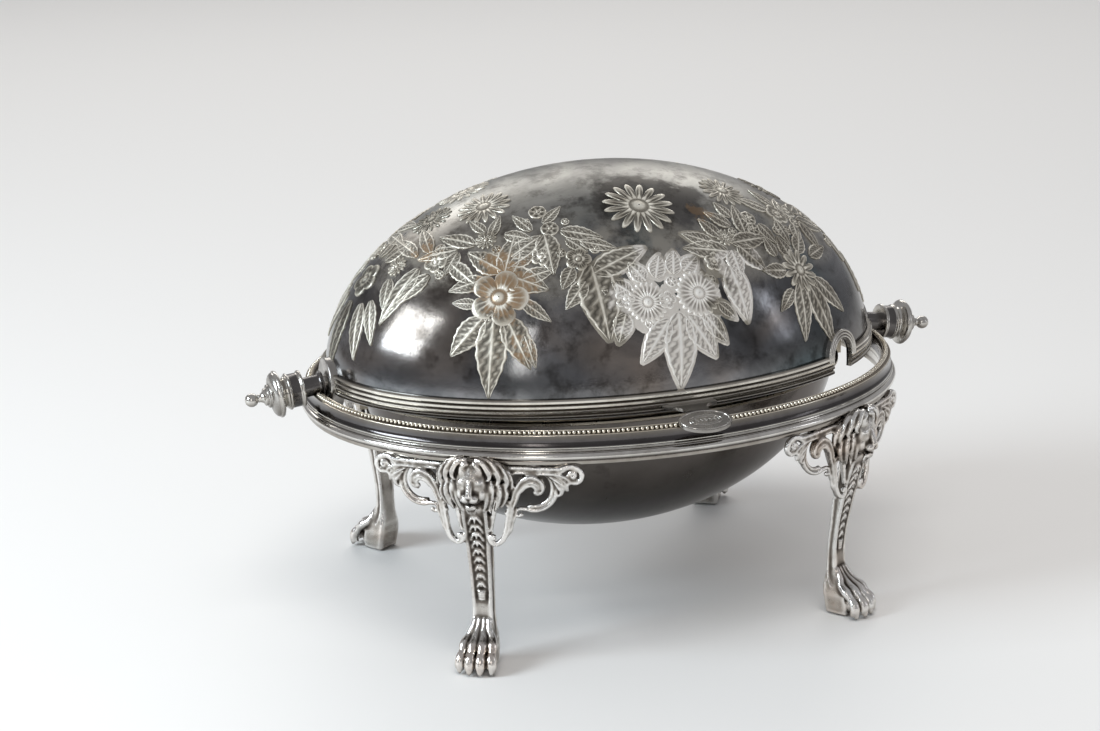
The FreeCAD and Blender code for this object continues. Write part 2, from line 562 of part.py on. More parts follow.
# Lion mask: face, brow, muzzle and chin in a mane of falling locks
mask = [
    lump("face", "0", "Dims.knee_out - 1.5", "Dims.mask_z", "Dims.mask_width / 2", "7.6",
         "Dims.mask_tall / 2"),
    lump("brow", "0", "Dims.knee_out + 1.6", "Dims.mask_z + 5", "Dims.mask_width / 2 - 1.4", "5.1",
         "4.6"),
    lump("muzzle", "0", "Dims.knee_out + 4.6", "Dims.mask_z - 4.2", "4.3", "4.5", "4.3"),
    lump("chin", "0", "Dims.knee_out + 3.1", "Dims.mask_z - 10.2", "3.3", "3.5", "3.1"),
]
for side in (-1, 1):
    word = "left" if side < 0 else "right"
    mask.append(lump(f"lock_{word}", f"{side} * (Dims.mane_width / 2 - 6)", "Dims.knee_out - 1",
                     "Dims.mask_z + 1", "4.6", "4.4", "Dims.mask_tall / 2 - 0.6"))
    mask.append(lump(f"side_lock_{word}", f"{side} * (Dims.mane_width / 2 - 3.4)", "Dims.knee_out - 3.4",
                     "Dims.mask_z + 1.6", "3.4", "3.7", "Dims.mask_tall / 2 - 2.6"))


# Bracket on each side: top bar with a volute, scroll ring, curled head, lower strand and inner leaf
bracket_turn = math.degrees(math.asin(number("Dims.volute_u / 2 / Dims.edge_radius")))


def across_disc(name, u, z, radius, thick):
    """Short cylinder through the bracket, its axis pointing outward."""
    disc = leg_solid("Cylinder", name, u, f"-({thick}) / 2", z, Radius=radius, Height=thick)
    return turned(disc, V(1, 0, 0), 90)


def link(name, start, end, thick, deep):
    """Flat bar of the bracket from start to end, each (u, z)."""
    (u0, z0), (u1, z1) = start, end
    bar = leg_solid("Box", name, u0, f"({deep}) / 2", z0, Length=thick, Width=deep,
                    Height=f"sqrt((({u1}) - ({u0}))^2 + (({z1}) - ({z0}))^2)")
    lean = math.atan2(number(f"({u1}) - ({u0})"), number(f"({z1}) - ({z0})"))
    turned(bar, V(0, 1, 0), math.degrees(lean))
    return bind(bar, Base_x=f"({u0}) - ({thick}) / 2 * {math.cos(lean):.5f}",
                Base_z=f"({z0}) + ({thick}) / 2 * {math.sin(lean):.5f}")


def bracket_parts(word):
    volute_z = "Dims.ring_bottom_z - Dims.volute_radius"
    bar = leg_solid("Box", f"bar_{word}", "5", "Dims.bar_deep / 2", "Dims.ring_bottom_z - Dims.bar_tall",
                    Length="Dims.volute_u - 5", Width="Dims.bar_deep", Height="Dims.bar_tall")
    scroll = cut(f"scroll_{word}",
                 across_disc(f"scroll_out_{word}", "Dims.scroll_u", "Dims.scroll_z",
                             "Dims.scroll_radius + Dims.scroll_thick", "2 * Dims.scroll_thick"),
                 across_disc(f"scroll_in_{word}", "Dims.scroll_u", "Dims.scroll_z",
                             "Dims.scroll_radius - Dims.scroll_thick", "6 * Dims.scroll_thick"))
    parts = [
        bar,
        scroll,
        across_disc(f"volute_{word}", "Dims.volute_u", volute_z, "Dims.volute_radius", "Dims.bar_deep + 0.8"),
        across_disc(f"volute_eye_{word}", "Dims.volute_u", volute_z, "Dims.volute_radius * 0.45",
                    "Dims.bar_deep + 2.4"),
        lump(f"curled_head_{word}", "Dims.scroll_u - 2.4", "0.4", "Dims.scroll_z + 1.6", "4", "3.2", "4.6"),
    ]
    strand = [
        ("Dims.scroll_u - 4.5", "Dims.scroll_z - 1"),
        ("Dims.scroll_u - 9", "Dims.scroll_z - 12.5"),
        ("Dims.scroll_u - 14", "Dims.strand_foot_z + 4"),
        ("Dims.shaft_top_width / 2 + 1.6", "Dims.strand_foot_z"),
        ("Dims.shaft_top_width / 2 - 2", "Dims.strand_foot_z + 1.5"),
    ]
    strand_thick = "2 * Dims.strand_radius"
    for i, (start, end) in enumerate(zip(strand, strand[1:])):
        parts.append(link(f"strand_{word}_{i}", start, end, strand_thick, strand_thick))
        parts.append(across_disc(f"strand_knuckle_{word}_{i}", *end, "Dims.strand_radius + 0.3",
                                 "2 * Dims.strand_radius + 0.6"))
    parts.append(link(f"leaf_{word}", ("Dims.shaft_top_width / 2 - 0.5", "Dims.mask_z - 24"),
                      ("Dims.shaft_top_width / 2 + 7", "Dims.mask_z + 2"), "3.6", "3.8"))
    return parts


bracket_right = fuse("bracket_right", bracket_parts("right"))
turned(bracket_right, V(0, 0, 1), bracket_turn)
bracket_left = mirrored("bracket_left", bracket_right, V(1, 0, 0))

leg_blank = fuse("leg_blank", shaft + paw + mask + [bracket_right, bracket_left])

# The leg stands on the frame's outer edge, square to it, and is cut clear of the frame and the floor
EDGE_X = "(Dims.ring_length + Dims.reed_out)"
EDGE_Y = "(Dims.ring_width + Dims.reed_out)"
leg_y = number(f"{EDGE_Y} * sqrt(1 - (Dims.leg_x / {EDGE_X})^2)")
leg_turn = math.degrees(math.atan2(number(f"Dims.leg_x / {EDGE_X}^2"), leg_y / number(f"{EDGE_Y}^2")))
leg_blank.Placement = FreeCAD.Placement(V(number("Dims.leg_x"), -leg_y, 0),
                                        FreeCAD.Rotation(V(0, 0, 1), leg_turn))
FRAME_ROOM = ("Dims.ring_length + Dims.reed_out + 0.85", "Dims.ring_width + Dims.reed_out + 0.85")
frame_room = oval_stack("frame_room", [(*FRAME_ROOM, "Dims.ring_bottom_z"), (*FRAME_ROOM, BEAD_TOP)])
floor_room = slab("floor_room", "-Dims.paw_tall", "0")
leg_front_right = cut("leg_front_right", leg_blank, fuse("leg_room", [frame_room, floor_room]))
leg_front_left = mirrored("leg_front_left", leg_front_right, V(1, 0, 0))
leg_back_right = mirrored("leg_back_right", leg_front_right, V(0, 1, 0))
leg_back_left = mirrored("leg_back_left", leg_front_left, V(0, 1, 0))

NODES = [
    base_ring, bead_strip, leg_front_left, leg_front_right, leg_back_left, leg_back_right,
    cover_dome, cover_border, cover_tab, cover_lug_left, cover_lug_right, notch_border,
    trunnion_left, trunnion_right, handle_knob_left, handle_knob_right, finial_screw_left, finial_screw_right,
    water_bowl, bowl_rim_band, bowl_hanger_left, bowl_hanger_right,
    liner_dish, drainer_plate, drainer_handle_left, drainer_handle_right,
]

doc.recompute()
for thing in doc.Objects:
    if {"Invalid", "Error"} & set(thing.State):
        raise RuntimeError(f"{thing.Name} did not build: {thing.State}")
for node in NODES:
    if node.Shape.isNull() or not node.Shape.isValid():
        raise RuntimeError(f"{node.Label} has no valid shape")

os.makedirs("parts", exist_ok=True)
for node in NODES:
    node.Shape.exportStep(f"parts/{node.Label}.step")
    box = node.Shape.optimalBoundingBox(False)
    print(f"{node.Label}: {len(node.Shape.Solids)} solid, {node.Shape.Volume / 1000:.2f} cm3, "
          f"x {box.XMin:.1f}..{box.XMax:.1f}, y {box.YMin:.1f}..{box.YMax:.1f}, "
          f"z {box.ZMin:.1f}..{box.ZMax:.1f}")
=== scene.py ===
# %% [markdown]
# # A revolving dish warmer in old silver plate
# The dish is a half-egg cover that rolls back on two end knobs, over an oval frame on four cast lion legs.
# This lesson loads the measured solids, lights them in a plain studio, and then gives each piece the chasing,
# beads, reeds and tarnish that make it look like worn Victorian plate.

# %% Load the measured solids
import math
import bpy
import bmesh
import numpy as np
from mathutils import Matrix, Vector


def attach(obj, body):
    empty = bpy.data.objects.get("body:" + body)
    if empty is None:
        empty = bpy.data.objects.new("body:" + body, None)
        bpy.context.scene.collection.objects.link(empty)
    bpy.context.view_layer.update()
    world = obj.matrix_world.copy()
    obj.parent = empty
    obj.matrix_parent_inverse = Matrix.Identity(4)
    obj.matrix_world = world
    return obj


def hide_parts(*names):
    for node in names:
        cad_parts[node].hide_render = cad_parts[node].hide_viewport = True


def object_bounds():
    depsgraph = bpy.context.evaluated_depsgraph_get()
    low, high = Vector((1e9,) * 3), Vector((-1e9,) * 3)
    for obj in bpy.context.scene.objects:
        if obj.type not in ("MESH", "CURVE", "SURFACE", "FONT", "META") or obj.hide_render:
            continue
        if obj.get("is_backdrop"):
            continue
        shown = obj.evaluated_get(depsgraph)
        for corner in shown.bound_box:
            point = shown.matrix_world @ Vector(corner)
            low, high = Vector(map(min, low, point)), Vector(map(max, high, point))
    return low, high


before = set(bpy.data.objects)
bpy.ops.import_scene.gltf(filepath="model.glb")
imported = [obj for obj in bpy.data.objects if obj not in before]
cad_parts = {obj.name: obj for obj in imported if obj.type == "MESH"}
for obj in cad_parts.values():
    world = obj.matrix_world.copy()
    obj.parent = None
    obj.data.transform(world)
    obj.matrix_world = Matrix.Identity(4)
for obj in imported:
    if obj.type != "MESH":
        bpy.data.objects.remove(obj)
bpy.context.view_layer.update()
MM = 0.001

# %% [markdown]
# A few steps come back for every piece: it is put into the scene, selected alone before an operator acts on
# it, given its finish and tied to the body that it moves with.

# %% Helpers for every piece


def add_object(name, data):
    """A new object in the scene."""
    thing = bpy.data.objects.new(name, data)
    bpy.context.scene.collection.objects.link(thing)
    return thing


def select_only(*pieces):
    """Select these pieces and nothing else, so that the next operator acts on them only."""
    bpy.ops.object.select_all(action="DESELECT")
    for piece in pieces:
        piece.select_set(True)
    if pieces:
        bpy.context.view_layer.objects.active = pieces[0]


def mend_skin(merge=None):
    """Point the active mesh's faces outward, after merging points that lie closer than merge."""
    bpy.ops.object.mode_set(mode="EDIT")
    bpy.ops.mesh.select_all(action="SELECT")
    if merge:
        bpy.ops.mesh.remove_doubles(threshold=merge)
    bpy.ops.mesh.normals_make_consistent(inside=False)
    bpy.ops.object.mode_set(mode="OBJECT")


def dress(piece, body, looks, node=None):
    """Give a piece its finishes, tie it to its body and, where it stands for a solid, hide that solid."""
    for look in looks:
        piece.data.materials.append(look)
    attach(piece, body)
    if node:
        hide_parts(node)


print("helpers are ready")

# %% [markdown]
# The camera stands a little left of the front and looks down. It could be aimed by eye, but the ellipses of
# the frame and the four feet fix it exactly, so its place, turn and lens are numbers.

# %% Camera
YAW, PITCH, ROLL = math.radians(19.083), math.radians(16.555), math.radians(-1.032)
forward = Vector((math.sin(YAW) * math.cos(PITCH), math.cos(YAW) * math.cos(PITCH), -math.sin(PITCH)))
level = Vector((math.cos(YAW), -math.sin(YAW), 0))
upright = level.cross(forward)
across = level * math.cos(ROLL) + upright * math.sin(ROLL)
upward = upright * math.cos(ROLL) - level * math.sin(ROLL)
camera = add_object("camera", bpy.data.cameras.new("camera"))
turn = Matrix((across, upward, -forward)).transposed().to_4x4()
camera.matrix_world = Matrix.Translation((-0.4655, -1.2649, 0.5183)) @ turn
camera.data.lens, camera.data.sensor_width = 88.45, 36
camera.data.clip_start, camera.data.clip_end = 0.05, 60
bpy.context.scene.camera = camera
print("camera at", [round(v, 3) for v in camera.location])

# %% [markdown]
# Polished metal shows what stands round it, so the studio matters as much as the finish. A soft cool window
# is on the left, a wide light hangs behind, two narrow strips edge the front, and a lamp overhead lights the
# dish without being mirrored in it. The room itself is a quiet grey, and the floor is pale.

# %% Studio
bpy.context.scene.view_settings.view_transform = "Standard"


def soft_light(name, size, place, target, power, tint=(1, 1, 1), mirrored=True):
    """A rectangular lamp that faces a target. It can light the dish without being mirrored in it."""
    lamp = bpy.data.lights.new(name, "AREA")
    lamp.shape, lamp.size, lamp.size_y = "RECTANGLE", size[0], size[1]
    lamp.energy, lamp.color = power, tint
    thing = add_object(name, lamp)
    thing.location = place
    thing.visible_glossy = mirrored
    thing.rotation_euler = (Vector(target) - Vector(place)).to_track_quat("-Z", "Y").to_euler()


soft_light("window", (0.85, 0.8), (-1.75, -0.12, 1.02), (-0.06, 0, 0.14), 30, (0.82, 0.92, 1.0))
soft_light("back", (2.6, 0.8), (0.5, 2.1, 1.5), (0, 0, 0.15), 17, (1.0, 0.98, 0.95))
soft_light("overhead", (1.6, 1.2), (-0.3, -1.2, 2.6), (0, 0, 0.1), 28, (1.0, 0.98, 0.96), mirrored=False)
soft_light("front strip", (0.16, 0.9), (-0.75, -1.5, 0.75), (0, 0, 0.08), 1.6, (1.0, 0.97, 0.93))
soft_light("right strip", (0.2, 0.9), (1.7, -0.9, 0.7), (0, 0, 0.1), 1.1, (0.9, 0.93, 1.0))

world = bpy.data.worlds.new("room")
bpy.context.scene.world = world
world.use_nodes = True
world.node_tree.nodes["Background"].inputs["Color"].default_value = (0.33, 0.33, 0.34, 1)

FLOOR_SIZE, FLOOR_GAP = 14, 0.0004
select_only()
bpy.ops.mesh.primitive_plane_add(size=FLOOR_SIZE, location=(0, 0, -FLOOR_GAP))
floor = bpy.context.object
floor.name = "floor"
floor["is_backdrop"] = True
floor_look = bpy.data.materials.new("pale floor")
floor_look.use_nodes = True
floor_shader = floor_look.node_tree.nodes["Principled BSDF"]
floor_shader.inputs["Base Color"].default_value = (0.86, 0.85, 0.83, 1)
floor_shader.inputs["Roughness"].default_value = 0.55
floor.data.materials.append(floor_look)
print("lamps and floor are in place")

# %% [markdown]
# Silver plate is a mirror that has aged: thin brown and blue-grey tarnish drifts over it in clouds, and fine
# wiping scratches blur what it shows. Every finish here is one recipe. Two noises on object coordinates mix a
# clean and a tarnished tone, the same clouds roughen it, and a fine bump breaks the reflection.

# %% The silver recipe
GRAIN_DEPTH = 0.0004


class Metal:
    """A metal material. Its methods add shader nodes, whose parts are sockets, numbers or colours."""

    def __init__(self, name, metallic=1.0):
        self.look = bpy.data.materials.new(name)
        self.look.use_nodes = True
        self.tree = self.look.node_tree
        self.shader = self.tree.nodes["Principled BSDF"]
        self.shader.inputs["Metallic"].default_value = metallic
        self.place = self.add("TexCoord").outputs["Object"]

    def add(self, kind, **settings):
        """A shader node; settings that are node properties are set, the others go to input sockets."""
        node = self.tree.nodes.new("ShaderNode" + kind)
        for name, setting in settings.items():
            if hasattr(node, name):
                setattr(node, name, setting)
            else:
                node.inputs[name].default_value = setting
        return node

    def fill(self, socket, part):
        """Link a part to an input, or set the input to a number or colour."""
        if isinstance(part, bpy.types.NodeSocket):
            self.tree.links.new(part, socket)
        else:
            socket.default_value = (*part, 1) if isinstance(part, tuple) else part

    def value(self, operation, first, second=0.0):
        """A sum on two numbers or sockets."""
        node = self.add("Math", operation=operation)
        self.fill(node.inputs[0], first)
        self.fill(node.inputs[1], second)
        return node.outputs[0]

    def scaled(self, part, factor, shift):
        """A part times a factor, plus a shift."""
        return self.value("ADD", self.value("MULTIPLY", part, factor), shift)

    def mix(self, factor, first, second, blend="MIX"):
        """A colour mix of two parts."""
        node = self.add("Mix", data_type="RGBA", blend_type=blend)
        self.fill(node.inputs["Factor"], factor)
        self.fill(node.inputs[6], first)
        self.fill(node.inputs[7], second)
        return node.outputs[2]

    def ramp(self, source, *stops):
        """A colour ramp on a value. Each stop is a position and a colour, or a number for a grey."""
        node = self.add("ValToRGB")
        self.fill(node.inputs["Fac"], source)
        while len(node.color_ramp.elements) < len(stops):
            node.color_ramp.elements.new(0.5)
        for element, (position, tone) in zip(node.color_ramp.elements, stops):
            element.position = position
            element.color = (*tone, 1) if isinstance(tone, tuple) else (tone, tone, tone, 1)
        return node.outputs["Color"]

    def noise(self, scale, detail=4.0, roughness=0.55, distortion=0.0):
        """Cloudy noise from 0 to 1 on object coordinates."""
        node = self.add("TexNoise", Scale=scale, Detail=detail, Roughness=roughness, Distortion=distortion)
        self.fill(node.inputs["Vector"], self.place)
        return node.outputs["Fac"]

    def attribute(self, name):
        """A value that the mesh carries at each point."""
        return self.add("Attribute", attribute_name=name).outputs["Fac"]

    def vertical(self, vector):
        """The Z part of a vector socket."""
        parts = self.add("SeparateXYZ")
        self.fill(parts.inputs[0], vector)
        return parts.outputs["Z"]

    def patch(self, centre, radius, clouds, threshold):
        """1 inside a ragged patch round a point, else 0."""
        gap = self.add("VectorMath", operation="DISTANCE")
        self.fill(gap.inputs[0], self.place)
        gap.inputs[1].default_value = centre
        closeness = self.value("SUBTRACT", 1.0, self.value("DIVIDE", gap.outputs["Value"], radius))
        ragged = self.value("ADD", self.value("MULTIPLY", closeness, 0.7), clouds)
        return self.ramp(ragged, (threshold, 0), (threshold + 0.12, 1))

    def painted_shade_below(self, tone, low):
        """Darken a tone on faces that look down: painted shade and a painted dark reflection of what lies
        below them.
        """
        up = self.scaled(self.vertical(self.add("TexCoord").outputs["Normal"]), 0.5, 0.5)
        dimming = self.ramp(up, (0.16, (low, low * 0.96, low * 0.92)), (0.54, 1))
        return self.mix(1.0, tone, dimming, "MULTIPLY")

    def finish(self, tone, sheen, grain, grain_scale=900.0):
        """Set the colour and roughness, and a bump of fine wiping marks or casting grain."""
        self.fill(self.shader.inputs["Base Color"], tone)
        self.fill(self.shader.inputs["Roughness"], sheen)
        bump = self.add("Bump", Strength=grain, Distance=GRAIN_DEPTH)
        self.fill(bump.inputs["Height"], self.noise(grain_scale, 3.0))
        self.fill(self.shader.inputs["Normal"], bump.outputs["Normal"])
        return self.look


def silver(name, clean, cloudy, dark, gloss, cloud_scale=22.0):
    """Old silver: clean metal, thin tarnish clouds and darker specks."""
    metal = Metal(name)
    clouds = metal.noise(cloud_scale, 6.0, 0.6, 0.6)
    specks = metal.ramp(metal.noise(cloud_scale * 9, 4.0, 0.7), (0.26, 0.5), (0.42, 0))
    tone = metal.mix(specks, metal.ramp(clouds, (0.32, cloudy), (0.62, clean)), dark)
    sheen = metal.ramp(clouds, (0.3, gloss[1]), (0.65, gloss[0]))
    # faces that look down get painted shade
    return metal.finish(metal.painted_shade_below(tone, 0.35), sheen, 0.05)


bright_plate = silver("bright plate", (0.72, 0.7, 0.66), (0.5, 0.47, 0.43), (0.22, 0.2, 0.17), (0.12, 0.28),
                      60)
warm_plate = silver("warm plate", (0.95, 0.89, 0.77), (0.78, 0.7, 0.57), (0.4, 0.33, 0.24), (0.2, 0.34))
# the seat under the beads is painted near black: painted shade under the beads
seat_painted_shade = silver("bead seat shade", (0.14, 0.11, 0.08), (0.08, 0.065, 0.045), (0.04, 0.03, 0.02), (0.3, 0.45))
# the knob drums and tube sleeves are painted near black: a painted reflection of dark surroundings
drum_painted_dark = silver("drum painted dark", (0.17, 0.16, 0.155), (0.1, 0.092, 0.09), (0.05, 0.045, 0.04), (0.24, 0.36))
tab_plate = silver("tab plate", (0.5, 0.48, 0.45), (0.34, 0.32, 0.3), (0.16, 0.145, 0.13), (0.24, 0.36), 60)
# the water bowl is painted near black: a painted reflection of a dark table
bowl_painted_dark = silver("bowl painted dark", (0.2, 0.18, 0.17), (0.11, 0.1, 0.09), (0.05, 0.042, 0.038), (0.16, 0.3), 7)
inner_plate = silver("inner plate", (0.66, 0.6, 0.5), (0.46, 0.41, 0.33), (0.22, 0.18, 0.14), (0.22, 0.4))
print("finishes:", len(bpy.data.materials))

# %% [markdown]
# The chased leaves were left matte by the punches, so they read as frosted champagne white against the dark
# polished cover. Each sheet carries a value called line: 1 on its raised lines and 0 in the hollows, which
# hold black tarnish. Where the plate has worn through near the left pendant, the copper under it shows.

# %% Chased silver
COPPER = (0.33, 0.215, 0.12)
COPPER_SPOTS = [((-0.070, -0.062, 0.180), 0.017), ((-0.076, -0.058, 0.197), 0.012),
                ((0.033, -0.05, 0.206), 0.009), ((-0.104, -0.026, 0.197), 0.01),
                ((-0.066, -0.072, 0.150), 0.014)]
FROST_SPOTS = [((0.006, -0.096, 0.150), 0.036), ((0.006, -0.086, 0.176), 0.034),
               ((0.047, -0.073, 0.172), 0.024)]
metal = Metal("chased silver", 0.6)
line = metal.attribute("line")
body = metal.ramp(line, (0.0, (0.12, 0.11, 0.095)), (0.27, (0.38, 0.355, 0.31)), (0.5, (0.72, 0.69, 0.62)),
                  (0.78, (1.0, 0.97, 0.9)))
frosted = metal.ramp(line, (0.0, (0.36, 0.33, 0.3)), (0.22, (0.78, 0.74, 0.68)), (0.6, (1.0, 0.98, 0.93)))
faded = metal.ramp(metal.noise(60, 6.0, 0.65), (0.36, (0.5, 0.47, 0.42)), (0.58, (1.0, 0.99, 0.95)))
tone = metal.mix(0.9, body, faded, "MULTIPLY")
for spot, reach in FROST_SPOTS:
    tone = metal.mix(metal.patch(spot, reach, metal.noise(90, 3.0), 0.62), tone, frosted)
for spot, reach in COPPER_SPOTS:
    worn = metal.patch(spot, reach * 1.5, metal.noise(260, 5.0, 0.7), 0.72)
    sunk = metal.value("SUBTRACT", 0.85, line)
    tone = metal.mix(metal.value("MULTIPLY", worn, sunk), tone, COPPER)
chased_silver = metal.finish(tone, 0.38, 0.25, 1400)

# %% [markdown]
# The castings keep black and brown tarnish in every hollow, and their ridges are rubbed bright. The value
# called hollow, which each casting carries, chooses between the two, with some noise so that the edge isn't
# clean.

# %% Cast silver
metal = Metal("cast silver")
depth = metal.value("ADD", metal.attribute("hollow"), metal.scaled(metal.noise(55, 5.0, 0.65), 0.35, -0.175))
tone = metal.ramp(depth, (0.3, (0.88, 0.86, 0.83)), (0.47, (0.56, 0.53, 0.49)), (0.58, (0.22, 0.195, 0.17)),
                  (0.78, (0.05, 0.042, 0.036)))
browned = metal.ramp(metal.noise(26, 4.0, 0.6), (0.5, 1), (0.74, (0.84, 0.7, 0.6)))
# faces that look down get painted shade
tone = metal.painted_shade_below(metal.mix(0.8, tone, browned, "MULTIPLY"), 0.3)
cast_silver = metal.finish(tone, metal.ramp(depth, (0.35, 0.17), (0.75, 0.5)), 0.5, 620)

# %% [markdown]
# The cover is painted dark low down and lighter towards the top: gunmetal grey below, a painted reflection
# of a dark room, with blue and brown where the tarnish film is thin, and towards the top a painted reflection
# of a bright ceiling, where wiping has also hazed it and made it rougher. Between the chased flowers a dull
# champagne haze is left where the cloth can't reach. Broad clouds on object coordinates carry these tints.

# %% The cover's tarnish and painted reflection
metal = Metal("cover tarnish and reflection")
broad = metal.noise(11, 6.0, 0.62, 0.8)
# the low tone: tarnish clouds, and darkness that is a painted reflection of a dark room
low_tarnish_and_dark_reflection = metal.ramp(broad, (0.34, (0.055, 0.055, 0.056)), (0.48, (0.15, 0.155, 0.16)),
                      (0.6, (0.27, 0.275, 0.28)), (0.72, 0.42))
film = metal.ramp(metal.noise(14, 2.0, 0.5, 0.4), (0.34, (0.62, 0.93, 1.0)), (0.45, 1),
                  (0.55, (1, 0.97, 0.98)), (0.68, (1.0, 0.82, 0.68)))
low_tarnish_and_dark_reflection = metal.mix(0.85, low_tarnish_and_dark_reflection, film, "MULTIPLY")
# the top tone: tarnish, and lightness that is a painted reflection of a bright ceiling
top_tarnish_and_light_reflection = metal.ramp(broad, (0.36, (0.15, 0.145, 0.13)), (0.62, (0.52, 0.51, 0.47)))
dusk = metal.patch((0.01, -0.047, 0.213), 0.042, metal.noise(60), 0.66)
top_tarnish_and_light_reflection = metal.mix(dusk, top_tarnish_and_light_reflection, (0.085, 0.075, 0.062))
# four times the height, which keeps the cover between 0.5 and 0.9, with a wavy edge
level = metal.value("ADD", metal.vertical(metal.place), metal.scaled(broad, 0.05, -0.025))
level = metal.value("MULTIPLY", level, 4.0)
# rises towards the top: it lightens the colour as a painted reflection, and makes it rougher where wiping
# hazed it
top_reflection_and_haze = metal.ramp(level, (0.74, 0), (0.9, 1))
between = metal.ramp(level, (0.69, 0), (0.75, 1), (0.81, 1), (0.86, 0))
dulled = metal.ramp(metal.noise(48, 6.0, 0.65), (0.38, 0), (0.54, 0.85))
dulled = metal.mix(1.0, dulled, between, "MULTIPLY")
tone = metal.mix(dulled, metal.mix(top_reflection_and_haze, low_tarnish_and_dark_reflection, top_tarnish_and_light_reflection), (0.5, 0.47, 0.41))
pits = metal.ramp(metal.noise(75, 7.0, 0.7), (0.36, (0.3, 0.28, 0.26)), (0.5, 1))
tone = metal.mix(0.75, tone, pits, "MULTIPLY")
sheen = metal.mix(top_reflection_and_haze, metal.ramp(broad, (0.34, 0.22), (0.66, 0.1)), (0.4, 0.4, 0.4))
sheen = metal.mix(dulled, sheen, (0.42, 0.42, 0.42))
for spot, reach in COPPER_SPOTS:
    worn = metal.patch(spot, reach * 1.1, metal.noise(190, 3.0), 0.8)
    tone = metal.mix(metal.value("MULTIPLY", worn, 0.6), tone, COPPER)
cover_tarnish_and_reflection = metal.finish(tone, sheen, 0.05, 700)
print("cover and chasing finished")

# %% [markdown]
# Mouldings get painted highlights and painted shade in stripes. The border's reeds are painted bright on top
# and dark in the valleys between them, and the frame's polished hollow under its beads is painted dark, with
# painted highlights on its reed and fillets. Both stripes follow the height, so one ramp draws each.

# %% Mouldings
BORDER_FOOT, BORDER_REED = 0.122, 0.0025
FRAME_FOOT, FRAME_TALL = 0.105, 0.02


def striped(name, stripes, gloss):
    """Bright plate with painted highlights and painted shade from stripes(metal, height), with the height in
    metres.
    """
    metal = Metal(name)
    clouds = metal.noise(40, 6.0, 0.65, 0.5)
    tone = metal.ramp(clouds, (0.34, (0.58, 0.55, 0.51)), (0.6, (0.82, 0.8, 0.76)))
    tone = metal.mix(1.0, tone, stripes(metal, metal.vertical(metal.place)), "MULTIPLY")
    sheen = metal.ramp(clouds, (0.35, gloss * 1.8), (0.65, gloss))
    # faces that look down get painted shade
    return metal.finish(metal.painted_shade_below(tone, 0.22), sheen, 0.08, 800)


def border_painted_light(metal, height):
    """A painted highlight on each reed of the cover's border, with painted shade in the valleys between them.
    """
    step = metal.value("DIVIDE", metal.value("SUBTRACT", height, BORDER_FOOT), BORDER_REED)
    edge = metal.value("ABSOLUTE", metal.value("SUBTRACT", metal.value("FRACT", step), 0.5))
    return metal.ramp(edge, (0.2, (1, 0.98, 0.94)), (0.46, (0.5, 0.47, 0.42)))


def frame_painted_light(metal, height):
    """Painted light on the frame from foot to top: a dim foot, a painted highlight on the reed, painted
    highlights on the fine fillets and painted shade in the hollow.
    """
    level = metal.value("DIVIDE", metal.value("SUBTRACT", height, FRAME_FOOT), FRAME_TALL)
    return metal.ramp(level, (0.05, (0.75, 0.73, 0.7)), (0.17, (0.3, 0.27, 0.25)), (0.21, 1), (0.33, 1),
                      (0.365, (0.25, 0.22, 0.2)), (0.4, (0.95, 0.95, 0.93)), (0.45, (0.9, 0.9, 0.88)),
                      (0.48, (0.1, 0.095, 0.1)), (0.62, (0.17, 0.165, 0.175)), (0.74, (0.36, 0.34, 0.32)))


reeded_plate = striped("reeded border", border_painted_light, 0.13)
frame_plate = striped("frame plate", frame_painted_light, 0.1)
print("mouldings finished")

# %% Put the finishes on the measured solids
FINISHES = {"leg": cast_silver, "liner": inner_plate, "drainer": inner_plate, "bowl": inner_plate,
            "cover_dome": cover_tarnish_and_reflection, "water_bowl": bowl_painted_dark, "cover_border": reeded_plate,
            "base_ring": frame_plate, "bead_strip": seat_painted_shade, "cover_tab": tab_plate, "trunnion": tab_plate}
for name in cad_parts:
    finish = next((look for start, look in FINISHES.items() if name.startswith(start)), bright_plate)
    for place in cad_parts[name].material_slots:
        place.material = finish

# %% [markdown]
# The cover is chased all round: flower pendants hang from a garland, and large daisies float above. Chasing
# pushes the sheet up from behind and then sharpens it with punched lines. It could be painted as a bump, but
# the real lines catch the light from every side, so each leaf and flower is a thin sheet of its own, shaped
# flat first and then laid on the egg. A leaf starts as a grid whose rows are drawn in to a point.

# %% The leaf, shaped flat
COVER_CENTRE = Vector((0, 0, 0.125))
COVER_LONG, COVER_ROUND = 0.145, 0.0997
TEETH, VEINS, VEIN_SLANT = 6.5, 7, 1.8
TIP_GAP, SUNK_EDGE = 0.002, -0.35


def near(value, middle, width):
    """A soft bump that is 1 at the middle."""
    return math.exp(-((value - middle) / width) ** 2)


def shape_sheet(name, columns, rows, shape):
    """A grid whose points are moved by shape(column, row), both from 0 to 1, to (x, y, height, sharpness)."""
    select_only()
    bpy.ops.mesh.primitive_grid_add(x_subdivisions=columns, y_subdivisions=rows, size=2)
    sheet = bpy.context.object
    sheet.name = name
    line = sheet.data.attributes.new("line", "FLOAT", "POINT")
    for vertex in sheet.data.vertices:
        x, y, height, sharp = shape((vertex.co.x + 1) / 2, (vertex.co.y + 1) / 2)
        vertex.co = (x, y, height)
        line.data[vertex.index].value = sharp
    return sheet


LEAF_COLUMNS = (-1, -0.94, -0.87, -0.76, -0.5, -0.25, -0.09, 0, 0.09, 0.25, 0.5, 0.76, 0.87, 0.94, 1)


def along_leaf(row):
    """Place a row between the stalk, 0, and the tip, 1. The end rows stay just clear of both."""
    return TIP_GAP + (1 - 2 * TIP_GAP) * row


def on_rim(side, row):
    """Whether a point lies on the sheet's edge, which is sunk into the cover."""
    return abs(side) > 0.99 or row < 0.001 or row > 0.999


